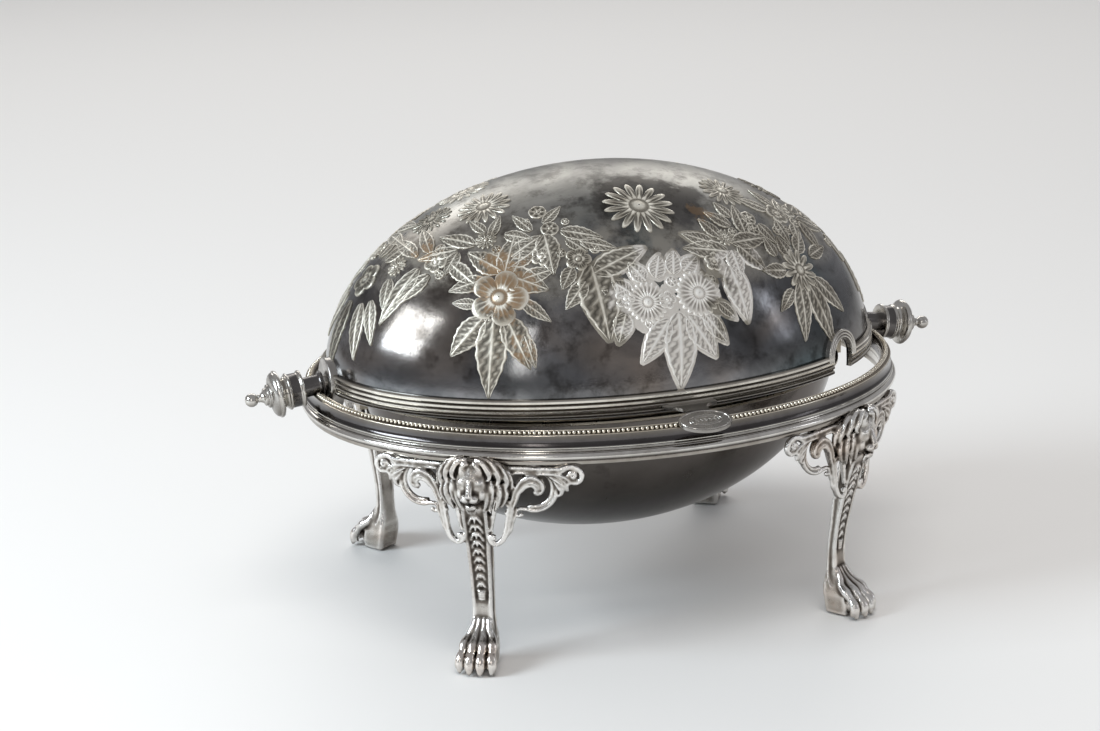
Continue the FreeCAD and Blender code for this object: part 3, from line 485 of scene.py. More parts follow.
def leaf_point(column, row):
    """A toothed leaf, 1 long and 1 wide, with raised outline, midrib and side veins; heights in mm."""
    side = LEAF_COLUMNS[round(column * (len(LEAF_COLUMNS) - 1))]
    along = along_leaf(row)
    width = math.sin(math.pi * along ** 0.72) ** 0.95 * (1 + 0.05 * math.sin(2 * math.pi * TEETH * along))
    edge = near(abs(side), 0.87, 0.07)
    midrib = near(side, 0, 0.08)
    vein = (0.5 + 0.5 * math.cos(2 * math.pi * (VEINS * along - VEIN_SLANT * abs(side)))) ** 3
    height = 0.3 + 0.25 * (1 - side * side) + 0.34 * edge + 0.28 * midrib + 0.2 * vein * (1 - edge)
    if on_rim(side, row):
        return side * width / 2, along - 0.5, SUNK_EDGE, 0.0
    return side * width / 2, along - 0.5, height, max(edge, midrib, 0.55 * vein)


def ground_point(column, row):
    """The leaf without teeth or veins: the punched ground that makes a pale rim round the middle motifs."""
    side, along = 2 * column - 1, along_leaf(row)
    width = math.sin(math.pi * along ** 0.72) ** 0.8
    height, sharp = (-0.3, 0.0) if on_rim(side, row) else (0.14, 0.27)
    return side * width / 2, along - 0.5, height, sharp


leaf = shape_sheet("leaf", len(LEAF_COLUMNS) - 1, 26, leaf_point)
ground = shape_sheet("ground", 8, 18, ground_point)
print("leaf:", len(leaf.data.polygons), "faces")

# %% [markdown]
# A flower is the same grid bent round into a disc, as a strip of paper is. Its outer edge is drawn in between
# the petals, and the seam and the middle are closed by merging what meets there. One set of numbers gives the
# five-petalled flower, the fringed one, both daisies and the little ringed buds.

# %% Flowers, shaped flat
RINGS = (0.02, 0.13, 0.19, 0.25, 0.32, 0.5, 0.68, 0.84, 0.93, 1.0)


def flower(name, petals, steps, waist, lobe, stripes, outline):
    """A round flower of radius 1. waist is its radius between petals, stripes the lines drawn on it."""

    def point(column, row):
        turn = 2 * math.pi * column
        share = RINGS[round(row * (len(RINGS) - 1))]
        swell = abs(math.cos(petals * turn / 2)) ** lobe
        reach = waist + (1 - waist) * swell
        radius = share * (1 if share < 0.26 else (0.25 + (share - 0.25) / 0.75 * (reach - 0.25)) / share)
        boss = math.sqrt(max(0.0, 1 - (share / 0.2) ** 2))
        edge = near(share, 0.9, 0.07) * outline
        gap = (1 - swell) if share > 0.3 else 0.0
        stripe = (0.5 + 0.5 * math.cos(stripes * turn)) ** 2 * near(share, 0.5, 0.3)
        ringed = near(share, 0.32, 0.04)
        height = 0.35 + 0.85 * boss + 0.3 * ringed + 0.4 * near(share, 0.66, 0.25) * swell + 0.3 * edge
        height += 0.16 * stripe - 0.25 * gap * near(share, 0.6, 0.3)
        sharp = max(boss * 0.8, edge, ringed, 0.6 * stripe) * (1 - 0.7 * gap * (share < 0.85))
        if share == RINGS[-1]:
            height, sharp = SUNK_EDGE, 0.0
        return radius * math.cos(turn), radius * math.sin(turn), height, sharp

    disc = shape_sheet(name, steps, len(RINGS) - 1, point)
    mend_skin(merge=0.004)
    if disc.data.polygons[len(disc.data.polygons) // 2].normal.z < 0:
        disc.data.flip_normals()
    return disc


FLOWER_KINDS = {
    "five": flower("five petals", 5, 70, 0.62, 0.55, 25, 1.0),
    "fringe": flower("fringed", 22, 88, 0.84, 1.0, 22, 0.7),
    "daisy": flower("daisy", 16, 128, 0.36, 0.7, 32, 0.8),
    "small daisy": flower("small daisy", 12, 72, 0.45, 0.7, 12, 0.8),
    "bud": flower("ringed bud", 6, 24, 0.94, 1.0, 6, 1.0),
}
print("flowers:", {kind: len(disc.data.polygons) for kind, disc in FLOWER_KINDS.items()})

# %% [markdown]
# The places below are read off the cover as a globe's are: degrees round it from the front, then degrees up.
# A leaf has a place for its stalk and one for its tip. Sizes are millimetres.

# %% Where the leaves and flowers go
LEAVES = [
    # the pendant left of the middle
    (-38, 25.2, -37, 6.5, 12), (-41.3, 25.5, -46, 16.5, 10), (-34.6, 25.6, -29, 13.8, 10.5),
    (-30.1, 20.9, -27.6, 13.6, 5.5), (-44.2, 30.1, -49.6, 30, 4.6), (-31.9, 31, -25.5, 26, 5.4),
    (-39, 39, -27.6, 35, 11), (-41.3, 40.4, -53, 44.5, 9.5), (-38.9, 45, -33.4, 51, 8),
    (-39.2, 39.3, -42, 51, 9), (-45, 37, -52, 33.5, 7), (-33, 38, -26.5, 40.5, 6.5),
    # the garland to its left
    (-55.5, 47.8, -69.8, 48.1, 6.8), (-67.9, 36.8, -69.7, 22.9, 9), (-62.7, 36.3, -67, 28.5, 7),
    (-56.2, 40.6, -46.8, 36, 7), (-74.8, 41.9, -92, 43, 6.2), (-69.7, 43.9, -84, 48.4, 6),
    (-55.2, 52.1, -65.3, 54.6, 4.6), (-45.2, 51.4, -36, 50.2, 6), (-50.9, 51.1, -54.5, 57.4, 4.6),
    (-57.9, 44.1, -57, 38.3, 6), (-34.2, 45.3, -38.5, 41, 6.4), (-60, 45, -70, 41, 6),
    # the garland right of it
    (-31.6, 51, -26.3, 40.2, 9.6), (-25.8, 53, -14.2, 50.5, 7), (-38.3, 53.7, -48.2, 57.8, 5),
    (-23.9, 50, -18, 46, 5), (-34.2, 56.5, -31.5, 62, 4.6), (-19, 49, -10, 46.5, 6),
    (-21.5, 40.5, -23, 35, 6),
    # the middle pendant
    (-15.9, 39.5, -12.5, 21.6, 15.5), (-14.5, 39.6, -2.6, 45.3, 10), (3.1, 23.4, 2, 6.4, 13),
    (0.2, 22.8, -5, 13.8, 9), (5.8, 23, 9.6, 13, 10), (9.5, 23.2, 12.6, 16, 7), (-8.7, 26, -10.2, 19.4, 8),
    (20.1, 35, 19.2, 21.4, 11), (13.6, 26, 16.2, 21.8, 4.6), (-7.1, 32.5, -11, 36, 6.6),
    (-3.2, 36, -6.4, 41, 7), (-0.1, 36.8, 2, 42.4, 7), (4.6, 37.3, 6.4, 43.2, 7), (7.7, 37.5, 12, 40.8, 7),
    (-18, 36, -21.5, 29.5, 7),
    # the garland right of the middle
    (21.4, 41.1, 11, 44, 9), (27.2, 41.2, 29.9, 33.6, 8.8), (27.1, 43.1, 38, 42.2, 8),
    (23.5, 40.3, 22, 33, 8), (23, 46.4, 21.4, 52.4, 6), (33.3, 45.7, 40.4, 54, 7),
    (41.6, 46.1, 40.8, 40.2, 6), (34, 51.7, 35, 57, 5.6), (19, 44.5, 12.5, 48.5, 6.5),
    (30, 49, 26.5, 54.5, 6),
    # the right pendant
    (37.9, 25.4, 34, 12, 9), (41.7, 24, 43, 9, 10.5), (45.7, 25.6, 50.8, 15.6, 8),
    (34.8, 25.3, 29.4, 21, 5.4), (41.7, 35.5, 43.4, 41, 7), (46.9, 35.5, 55, 39.8, 7),
    (51.4, 32.9, 61, 33, 6), (36.8, 36.7, 38, 42, 5.4), (36, 31.5, 30, 33, 6.5),
    # the garland towards the right end
    (60, 45.5, 70, 50, 7), (64, 41, 58, 33.5, 7.5), (66, 42, 74, 36, 7.5), (70, 45, 82, 44, 6.5),
    (54, 50, 49, 56, 6), (57, 42, 51, 38, 6), (75, 41, 84, 38, 6), (62, 50, 66, 56, 5.5),
    (50.5, 45, 46, 38.5, 6),
]
# the same pendant at the two ends
for end in (-1, 1):
    LEAVES += [(end * 81.8, 23.9, end * 76.5, 11.5, 8), (end * 90, 22.5, end * 90, 5, 10),
               (end * 77.6, 25.9, end * 71, 16.4, 6.5), (end * 86.4, 38, end * 82.7, 44, 7.6),
               (end * 76, 33, end * 71.5, 26, 6.5)]
FLOWERS = {
    "five": [(-38.4, 32.3, 14.2), (-20, 43.6, 6.4), (-63.3, 41, 6.2), (-8.4, 30.8, 5), (56.6, 47.2, 6.8),
             (-90, 31, 9.5), (1.3, 29.4, 4.6), (16.6, 38.6, 5), (-30.6, 44.6, 5), (90, 31, 9.5),
             (66, 46.5, 6)],
    "fringe": [(-3.3, 29.3, 10.2), (9.2, 30.2, 11.6)],
    "daisy": [(2.8, 61.2, 17.5), (-70, 60.5, 13.5), (50, 60.5, 12), (90, 52, 12), (-90, 52, 11)],
    "small daisy": [(41.7, 30.3, 11.5), (-51.4, 49.3, 5.4), (24.9, 45.3, 4.8), (-78, 37.4, 5.5),
                    (78, 37.4, 5.5)],
    "bud": [(-39.9, 60.2, 4.4), (-31.2, 54, 4.4), (-26.6, 56.6, 2), (-15.5, 46.7, 2.6), (-39.9, 27.2, 3),
            (-4.5, 38.6, 3.2), (-3.3, 23.4, 2.8), (40.7, 49.4, 4.4), (37.6, 45.8, 4), (60.5, 42.6, 3.2),
            (51.5, 41.9, 2.8), (-41.7, 56.4, 2), (29.2, 46.6, 2.4), (-48.4, 43.6, 2.8), (-45.4, 46.6, 2.4),
            (46.6, 43, 2.8), (70.5, 32.2, 2.6), (-13.6, 33.6, 2.6), (3.4, 34.6, 2.8), (13.6, 33.4, 2.4),
            (-58.8, 37.6, 2.4), (-66, 45, 2.8), (-25.2, 45.8, 2.4), (17.6, 43.6, 2.2)],
}
print("leaves:", 2 * len(LEAVES), "flowers:", 2 * sum(len(places) for places in FLOWERS.values()))

# %% [markdown]
# Laying a flat leaf on an egg by hand would be a shrinkwrap. Here it is the same thing written out: every
# point of the leaf drops along the egg's normal at the leaf's middle until it meets the sheet, and then its
# own height is added. The back of the cover is the mirror image of the front.

# %% Lay the chasing on the cover


def on_cover(around, up):
    """The point of the cover at degrees round from the front and degrees up."""
    a, e = math.radians(around), math.radians(up)
    return Vector((COVER_LONG * math.sin(a) * math.cos(e), -COVER_ROUND * math.cos(a) * math.cos(e),
                   COVER_ROUND * math.sin(e)))


def cover_normal(point):
    """Outward normal of the cover's egg, for a point counted from its centre."""
    slope = Vector((point.x / COVER_LONG ** 2, point.y / COVER_ROUND ** 2, point.z / COVER_ROUND ** 2))
    return slope.normalized()


def drop_on_cover(point, normal):
    """Move a point along a direction until it lies on the cover."""
    scale = Vector((1 / COVER_LONG, 1 / COVER_ROUND, 1 / COVER_ROUND))
    p, d = point * scale, normal * scale
    a, b, c = d.dot(d), p.dot(d), p.dot(p) - 1
    return point + normal * ((-b + math.sqrt(max(b * b - a * c, 0))) / a)


def lay(motif, centre, along, length, width, relief):
    """A copy of a flat motif, laid on the cover round a centre, its Y pointing along a direction."""
    normal = cover_normal(centre)
    along = (along - normal * along.dot(normal)).normalized()
    sideways = along.cross(normal)
    mesh = motif.data.copy()
    for vertex in mesh.vertices:
        flat = centre + sideways * vertex.co.x * width + along * vertex.co.y * length
        foot = drop_on_cover(flat, normal)
        vertex.co = foot + cover_normal(foot) * vertex.co.z * MM * relief + COVER_CENTRE
    return add_object(motif.name, mesh)


LEAF_GROW, LEAF_WIDEN, LEAF_RELIEF = 1.28, 1.38 * MM, 0.95
FLOWER_GROW, DAISY_RELIEF = 1.08 * MM, 0.8
GROUND_FROM, GROUND_TO, GROUND_TOP, GROUND_RIM = -17, 21, 42, 4.2 * MM


def lay_all(flip):
    """Lay every leaf and flower on half of the cover: flip is 1 for the front, -1 for its mirror image."""
    pieces = []
    half = Vector((1, flip, 1))
    for base_around, base_up, tip_around, tip_up, width in LEAVES:
        base, tip = on_cover(base_around, base_up) * half, on_cover(tip_around, tip_up) * half
        centre = drop_on_cover((base + tip) / 2, cover_normal(base + tip))
        length = (tip - base).length * LEAF_GROW
        wide = width * LEAF_WIDEN
        pieces.append(lay(leaf, centre, tip - base, length, wide, LEAF_RELIEF))
        if GROUND_FROM < base_around < GROUND_TO:
            pieces.append(lay(ground, centre, tip - base, length + GROUND_RIM, wide + GROUND_RIM, 1))
    upward = Vector((0, 0, 1))
    for kind, places in FLOWERS.items():
        for around, up, radius in places:
            centre = on_cover(around, up) * half
            relief = DAISY_RELIEF if kind == "daisy" else min(1.25, 0.7 + radius * 0.04)
            reach = radius * FLOWER_GROW
            pieces.append(lay(FLOWER_KINDS[kind], centre, upward, reach, reach, relief))
            if GROUND_FROM < around < GROUND_TO and up < GROUND_TOP:
                across = 2 * reach + GROUND_RIM
                pieces.append(lay(ground, centre, upward, across * 1.25, across, 1))
    return pieces


def join(pieces, name):
    """Join pieces into one named object."""
    select_only(*pieces)
    bpy.ops.object.join()
    whole = bpy.context.object
    whole.name = whole.data.name = name
    bpy.ops.object.shade_smooth()
    return whole


for name, flip in (("chased_front", 1), ("chased_back", -1)):
    half = join(lay_all(flip), name)
    dress(half, "cover", [chased_silver])
    print(name, len(half.data.polygons), "faces")
for pattern in [leaf, ground, *FLOWER_KINDS.values()]:
    bpy.data.objects.remove(pattern)

# %% [markdown]
# Each leg is one casting: a lion's mask on a tapering shaft with a paw, between two pierced scroll brackets.
# A sculptor would build up clay and cast it. The same is done here: rolls of clay (curves with a changing
# thickness) and lumps (squashed balls) are laid over one another, then a voxel remesh melts them into one
# skin and smoothing softens the joins. The leg is shaped once, standing at the origin and facing the front.

# %% Clay rolls and lumps
LEG_X, LEG_Y, LEG_TURN = 0.100, 0.09515, math.radians(33.29)
BRACKET_TURN = math.radians(9.07)


def clay_rolls(name, rolls):
    """One mesh of many tapering rolls; each is a list of (along, out, up, radius) in mm."""
    curve = bpy.data.curves.new(name, "CURVE")
    curve.dimensions, curve.bevel_depth, curve.bevel_resolution = "3D", MM, 3
    curve.use_fill_caps, curve.resolution_u = True, 6
    for roll in rolls:
        spline = curve.splines.new("BEZIER")
        spline.bezier_points.add(len(roll) - 1)
        for point, (along, out, up, radius) in zip(spline.bezier_points, roll):
            point.co = (along * MM, -out * MM, up * MM)
            point.radius = radius
            point.handle_left_type = point.handle_right_type = "AUTO"
    select_only(add_object(name, curve))
    bpy.ops.object.convert(target="MESH")
    return bpy.context.object


def clay_lumps(name, lumps):
    """One mesh of many squashed balls: (along, out, up, half width, half depth, half height) in mm."""
    balls = []
    for along, out, up, wide, deep, tall in lumps:
        select_only()
        bpy.ops.mesh.primitive_uv_sphere_add(segments=20, ring_count=12, radius=MM)
        ball = bpy.context.object
        ball.data.transform(Matrix.Translation((along * MM, -out * MM, up * MM))
                            @ Matrix.Diagonal((wide, deep, tall, 1)))
        balls.append(ball)
    return join(balls, name)


def moved(shapes, change):
    """Rolls, which are lists of points, or lumps, which are one point each, with every point changed."""
    return [[change(point) for point in shape] if isinstance(shape, list) else change(shape)
            for shape in shapes]


def both_sides(shapes):
    """Rolls or lumps and their mirror images on the other side of the leg."""
    return shapes + moved(shapes, lambda point: (-point[0], *point[1:]))


THICK_ROLL, STRAND_SPREAD, STRAND_LIFT = 1.35, 0.52, 0.84


def strands(rolls):
    """Two fine ridges along the front of every thick roll, like the ribs of an acanthus leaf."""
    fine = []
    for roll in rolls:
        if max(point[3] for point in roll) < THICK_ROLL:
            continue
        for edge in (-1, 1):
            ridge = []
            for i, (along, out, up, radius) in enumerate(roll):
                before, after = roll[max(i - 1, 0)], roll[min(i + 1, len(roll) - 1)]
                step = Vector((after[0] - before[0], after[2] - before[2])).normalized()
                step *= edge * STRAND_SPREAD * radius
                ridge.append((along - step.y, out + STRAND_LIFT * radius, up + step.x, 0.22 * radius + 0.16))
            fine.append(ridge)
    return fine


def swing(shapes):
    """Turn a bracket's rolls or lumps back about the leg, so that they follow the oval frame."""
    c, s = math.cos(BRACKET_TURN), math.sin(BRACKET_TURN)
    return moved(shapes, lambda point: (point[0] * c + point[1] * s, point[1] * c - point[0] * s, *point[2:]))


# %% [markdown]
# The bracket is drawn in its own flat plane: a bar under the frame ending in a volute, a double-ridged
# C-scroll, a curled head inside it, a strand that runs down to the shaft, and a leaf beside the mane.

# %% Bracket
SCROLL_ALONG, SCROLL_UP, SCROLL_STEPS = 28, 94, 12


def arc(radius, start, end, out, thick):
    """A roll along the scroll in the bracket's plane, angles in degrees from the outward horizontal."""
    points = []
    for i in range(SCROLL_STEPS + 1):
        a = math.radians(start + (end - start) * i / SCROLL_STEPS)
        points.append((SCROLL_ALONG + radius * math.cos(a), out, SCROLL_UP + radius * math.sin(a), thick))
    return points


bracket_rolls = [
    # the bar and its volute
    [(5, 0, 102.6, 2.9), (14, 0, 103.2, 2.7), (24, 0, 103.4, 2.5), (34, 0.2, 102.9, 2.4),
     (41, 0.6, 103.6, 2.2), (46, 0.8, 105.2, 1.5), (50.6, 0.8, 103.4, 1.4), (51.4, 0.8, 99.6, 1.3),
     (48.6, 0.8, 97.2, 1.2), (45.4, 0.9, 98.6, 1.1), (45.4, 1.1, 101.4, 1.1), (47.8, 1.3, 102, 1.2),
     (48.4, 1.4, 100.4, 1.3)],
    [(30, 1.8, 104.6, 0.7), (37, 2.2, 104.3, 0.9), (43, 2.4, 104.6, 0.8), (46, 2.2, 106, 0.5)],
    [(34, 2, 101.2, 0.5), (40, 2.3, 101.4, 0.9), (44.6, 2, 99.2, 0.8), (46, 1.8, 96.2, 0.5)],
    # leaves hanging under the volute
    [(36, 0.6, 100.8, 1.2), (40.4, 0.8, 98.8, 1.9), (43.8, 0.9, 95.6, 1.5), (44.6, 0.8, 92.6, 0.6)],
    [(38, 0.6, 98.4, 1.0), (41.2, 0.9, 94.6, 1.5), (41.6, 0.9, 91.4, 0.9), (39.8, 0.8, 90, 0.5)],
    # the double-ridged C-scroll with its curled foot
    arc(11.4, 118, -112, 0.3, 1.15) + [(20.6, 0.4, 83.2, 1.0), (19.6, 0.6, 81.2, 0.9), (21.2, 0.8, 79.8, 0.9),
                                       (22.8, 0.9, 81, 1.0)],
    arc(9.4, 112, -100, -0.2, 1.1),
    arc(10.4, 116, -106, -1.2, 1.5),
    # the curled head
    [(15.5, 0.2, 80, 1.6), (18.4, 0.4, 87, 2.0), (20.8, 0.7, 93.4, 2.4), (24.2, 0.9, 98, 2.6),
     (28.6, 1.1, 98.8, 2.7), (31.8, 1.1, 95.8, 2.3), (31.2, 1.0, 92.4, 1.7), (28.8, 1.0, 91.4, 1.2)],
    [(22.6, 2.4, 92.6, 0.7), (25.2, 3.0, 95.4, 0.8), (28.2, 3.1, 95.8, 0.8), (29.6, 2.8, 93.6, 0.7)],
    # the strand to the shaft, with its small volute
    [(17.4, 0.2, 84, 1.8), (15.8, 0.2, 77, 1.7), (14.4, 0.2, 70.6, 1.6), (11.8, 0.1, 66.4, 1.5),
     (8.6, 0, 65.4, 1.3), (6.8, 0, 67.2, 1.2), (7.6, 0.2, 69.2, 1.1), (9.4, 0.5, 68.8, 1.1)],
    [(20.4, 0.4, 84, 0.6), (18.6, 0.5, 78.6, 1.1), (17.6, 0.5, 74.6, 0.6)],
    [(18.4, 0.4, 77, 0.5), (16.8, 0.5, 72.4, 1.0), (14.6, 0.4, 68.6, 0.6)],
    # the leaf between the mane and the strand
    [(12.6, 0.4, 97, 1.5), (10.6, 0.6, 89, 1.5), (8.6, 0.3, 80, 1.3), (7.2, -0.2, 71.4, 1.0)],
    [(9.4, 0.6, 84.6, 0.8), (12.4, 0.8, 88.4, 1.5), (15.6, 0.9, 87, 1.7), (16.4, 0.8, 83, 1.2),
     (14.4, 0.8, 81.2, 0.8)],
    [(11, 1.2, 92, 0.6), (14.2, 1.4, 92.6, 1.1), (17.4, 1.2, 90, 0.7)],
]
bracket_lumps = [(47.6, 1.6, 100.4, 1.6, 1.4, 1.6), (22.2, 1.2, 80.8, 1.1, 1.1, 1.1),
                 (8.8, 0.9, 68.2, 1.1, 1, 1.1), (29.4, 1.9, 92.4, 1.3, 1.3, 1.3)]
for i in range(6):  # the fluted crown of the curled head
    a = math.radians(165 - 38 * i)
    bracket_lumps.append((27.2 + 4.9 * math.cos(a), 1.6, 94.4 + 5.2 * math.sin(a), 1.1, 1.5, 1.1))
bracket_rolls += strands(bracket_rolls[:1] + bracket_rolls[3:5] + bracket_rolls[7:])
print("bracket:", len(bracket_rolls), "rolls")

# %% [markdown]
# The mask is a plain heraldic lion. Its mane falls in two tiers of four locks on each side, with a tuft over
# the brow and another in the beard. Every thick lock gets two fine strands. The shaft below it is a tapering
# post with a sunk panel, edge fillets and a drop of small leaves.

# %% Mask, mane and leaf drop
mane = [
    # the upper locks, curled at their ends
    [(2, 6.5, 110.5, 0.9), (6, 7.4, 109, 1.3), (8.6, 7.2, 105, 1.5), (9.2, 6.6, 101.4, 1.1),
     (8.2, 7.2, 99.6, 0.5)],
    [(4, 4.6, 110.6, 1.0), (9.6, 5.4, 108.4, 1.5), (12.4, 5, 103.6, 1.6), (13, 4.2, 99.4, 1.2),
     (12, 4.8, 97.2, 0.5)],
    [(7, 3, 109.6, 1.0), (13, 3, 106.6, 1.5), (16, 2.4, 101.4, 1.6), (16.4, 1.6, 97, 1.2),
     (15.2, 2.2, 94.8, 0.5)],
    [(10, 1, 107, 1.2), (15.6, 0.6, 104, 1.5), (18, -0.4, 98.6, 1.4), (16.8, -0.8, 92.4, 0.9),
     (15, -0.8, 89.2, 0.5)],
    # the lower locks, which lie under them
    [(8.4, 4.4, 101, 1.2), (9.8, 5, 95.4, 1.5), (9.2, 4, 89.4, 1.3), (7.8, 2.8, 84.4, 0.7),
     (8.6, 3.2, 82.4, 0.4)],
    [(11.4, 3.2, 99.6, 1.2), (13.2, 3.6, 94, 1.5), (12.2, 2.6, 88, 1.3), (10.2, 1.6, 83, 0.6)],
    [(14, 1.6, 97.6, 1.2), (16, 1.6, 92.4, 1.4), (14.6, 1, 87.6, 1.0), (12.8, 0.6, 84.4, 0.5)],
    [(6.9, 6.2, 97, 0.9), (7.4, 6.2, 91.6, 1.1), (6.4, 5, 86.4, 0.9), (5.2, 4.2, 83, 0.4)],
    # a tuft over the brow and a lock of the beard
    [(1.2, 7.6, 108.8, 1.2), (3.2, 8.4, 107.6, 1.3), (5.0, 8.2, 105.2, 0.9)],
    [(1.4, 8.4, 87.8, 1.0), (2, 7.2, 84.8, 0.9), (1.4, 6.2, 82.2, 0.5)],
]
mane += strands(mane)
middle_rolls = [  # the nose, the beard's middle lock and the mouth
    [(0, 9.7, 100.2, 1.4), (0, 10.7, 97, 1.6), (0, 11.8, 93.8, 1.6)],
    [(0, 8.2, 86, 1.2), (0, 7, 83.8, 1.0), (0, 6, 81.6, 0.5)],
    [(-2.2, 9.9, 88.2, 0.45), (0, 10.7, 87.4, 0.5), (2.2, 9.9, 88.2, 0.45)],
]
# half the forehead, a brow, an eye, a cheek, half the muzzle and a temple
mask_side_lumps = [
    (2.9, 6.4, 104.0, 3.6, 3.2, 4.0), (3.8, 8.6, 99.5, 2.5, 1.8, 1.5), (2.9, 9.5, 96.4, 1.0, 1.0, 0.75),
    (4.8, 6.7, 93.4, 2.4, 2.7, 3.8), (1.95, 10.5, 91.4, 2.3, 2.2, 2.2), (6.4, 4.6, 102, 1.8, 2.2, 3.4)]
# the face, nose, chin, upper jaw and the mass behind the mane
mask_lumps = [(0, 4.6, 98.2, 8.2, 6.2, 11.4), (0, 12.5, 93.2, 1.9, 1.0, 1.0), (0, 8.5, 86.5, 2.7, 2.2, 1.5),
              (0, 8.6, 92.2, 4.2, 3.2, 3.4), (0, 0, 99, 15, 4.2, 10)]
drop_rolls, drop_lumps = [], []
DROP_STEPS, DROP_TOP, DROP_PITCH, DROP_FADE = 9, 80.5, 4.7, 0.06


def shaft_front(up):
    """How far out the middle of the shaft's front lies, at a height."""
    levels = [(29, -7.0), (46, -5.4), (59, -2.6), (70, 0.0), (85, 4.4)]
    for (z0, v0), (z1, v1) in zip(levels, levels[1:]):
        if up <= z1:
            return v0 + (v1 - v0) * (up - z0) / (z1 - z0)
    return levels[-1][1]


for i in range(DROP_STEPS):
    up = DROP_TOP - i * DROP_PITCH
    size = 1 - DROP_FADE * i
    out = shaft_front(up) - 0.6
    low = shaft_front(up - 6 * size) - 0.5
    drop_rolls.append([(0.5 * size, out, up, 0.4 * size),
                       (1.9 * size, out + 0.2, up - 2.0 * size, 0.62 * size),
                       (3.5 * size, low + 0.1, up - 5.6 * size, 0.35 * size)])
    drop_lumps.append((0, out, up - 2.2 * size, 0.5 * size, 0.8 * size, 2.6 * size))
TONGUE_TOP = 38.2
for i in range(4):  # the ribs of the tongue that ends the drop
    up = TONGUE_TOP - 1.4 * i
    out = shaft_front(up)
    drop_rolls.append([(0, out - 0.4, up - 0.5, 0.5), (1.9 - 0.21 * i, out - 0.5, up, 0.4)])
print("mane:", 2 * len(mane), "locks and strands; drop:", 2 * len(drop_rolls), "small leaves and ribs")

# %% Shaft and paw
SHAFT = [  # height, half width, front, back
    (94, 6.2, 3.0, -5.0), (84, 6.4, 4.4, -4.6), (77, 6.4, 2.3, -5.4), (70, 6.2, 0.0, -6.6),
    (64, 6.0, -1.5, -7.6), (59, 5.8, -2.6, -8.4), (52, 5.6, -4.2, -9.4), (46, 5.4, -5.4, -10.2),
    (38, 5.2, -6.5, -11.0), (34, 5.1, -6.8, -11.3), (29, 5.0, -7.0, -11.7), (24, 5.2, -6.7, -12.2),
    (19, 6.0, -5.0, -12.8), (15, 7.0, -2.5, -13.2), (10, 7.6, 0.0, -12.8), (4, 7.4, 1.0, -11.6),
    (0.2, 7.0, 1.0, -11.0)]
PANEL_TOP, PANEL_LOW, PANEL_DEPTH = 90, 31, 0.75


def build_shaft():
    """The post, level by level: rings of points, each with its own size, are joined by faces."""
    mesh = bmesh.new()
    rings = []
    for up, half, front, back in SHAFT:
        sunk = PANEL_DEPTH if PANEL_LOW < up < PANEL_TOP else 0.0
        right = [(half - 0.8, back), (half, back + 0.8), (half, front - 0.5), (half - 0.4, front),
                 (half - 1.3, front), (half - 1.6, front - sunk)]
        outline = right + [(-u, v) for u, v in reversed(right)]
        rings.append([mesh.verts.new((u * MM, -v * MM, up * MM)) for u, v in outline])
    for upper, lower in zip(rings, rings[1:]):
        for i in range(len(upper)):
            j = (i + 1) % len(upper)
            mesh.faces.new((upper[i], upper[j], lower[j], lower[i]))
    mesh.faces.new(rings[0])
    mesh.faces.new(rings[-1])
    bmesh.ops.recalc_face_normals(mesh, faces=mesh.faces)
    data = bpy.data.meshes.new("shaft")
    mesh.to_mesh(data)
    mesh.free()
    return add_object("shaft", data)


rail = [(5.6, -7.6, 62, 0.9), (5.4, -9, 50, 0.9), (5.1, -10.6, 38, 0.85), (5.0, -11, 29, 0.8),
        (5.6, -10.6, 20, 0.9), (6.6, -8, 14, 1.0)]
rail_top = [(6.4, -3.2, 84, 0.9), (6.3, -5.2, 72, 0.9), (5.8, -7.2, 62, 0.9)]
TOES = ((-7.4, 7.2), (-2.5, 9.2), (2.5, 9.2), (7.4, 7.2))  # place across the paw, reach in front of it
toes, claws = [], []
for side, reach in TOES:
    toes.append([(side * 0.45, -6.6, 24, 0.9), (side * 0.6, -4.2, 19, 1.7),
                 (side * 0.8, reach - 9.6, 15.4, 2.2), (side * 0.96, reach - 6, 13, 2.6),
                 (side, reach - 3.2, 10.2, 2.0), (side * 1.06, reach - 0.8, 7.4, 2.6),
                 (side * 1.08, reach - 0.2, 4.4, 2.6), (side * 1.08, reach - 1.2, 2, 2.0)])
    claws.append([(side * 1.08, reach - 0.6, 6.6, 1.9), (side * 1.08, reach + 0.5, 4, 1.8),
                  (side * 1.08, reach + 0.7, 1.6, 1.3), (side * 1.08, reach + 0.6, 0.5, 0.7)])
paw_lumps = [(0, -2, 5.6, 7.4, 8, 6), (0, -7.4, 6, 6, 3.6, 6.6), (-3.4, -4, 5, 3.8, 6, 5),
             (3.4, -4, 5, 3.8, 6, 5)]
print("shaft rings:", len(SHAFT), "toes:", len(toes))

# %% [markdown]
# The clay is joined and remeshed at half a millimetre. The sole is pressed flat on the table. Old cast silver
# is dark in its hollows and bright on what gets rubbed, so each point also gets a value called hollow: how
# far it lies under a smoothed copy of the surface. The finish reads it.

# %% Melt the clay into one casting
VOXEL, HOLLOW_PASSES, HOLLOW_DEPTH = 0.52 * MM, 10, 0.38 * MM


def apply_modifier(thing, kind, **settings):
    """Add one modifier, set it and apply it."""
    select_only(thing)
    bpy.ops.object.modifier_add(type=kind)
    modifier = thing.modifiers[-1]
    for name, setting in settings.items():
        setattr(modifier, name, setting)
    bpy.ops.object.modifier_apply(modifier=modifier.name)


def neighbour_mean(values, edges, counts):
    """The mean of every point's neighbours."""
    total = np.zeros_like(values)
    np.add.at(total, edges[:, 0], values[edges[:, 1]])
    np.add.at(total, edges[:, 1], values[edges[:, 0]])
    return total / counts.reshape(-1, *([1] * (values.ndim - 1)))


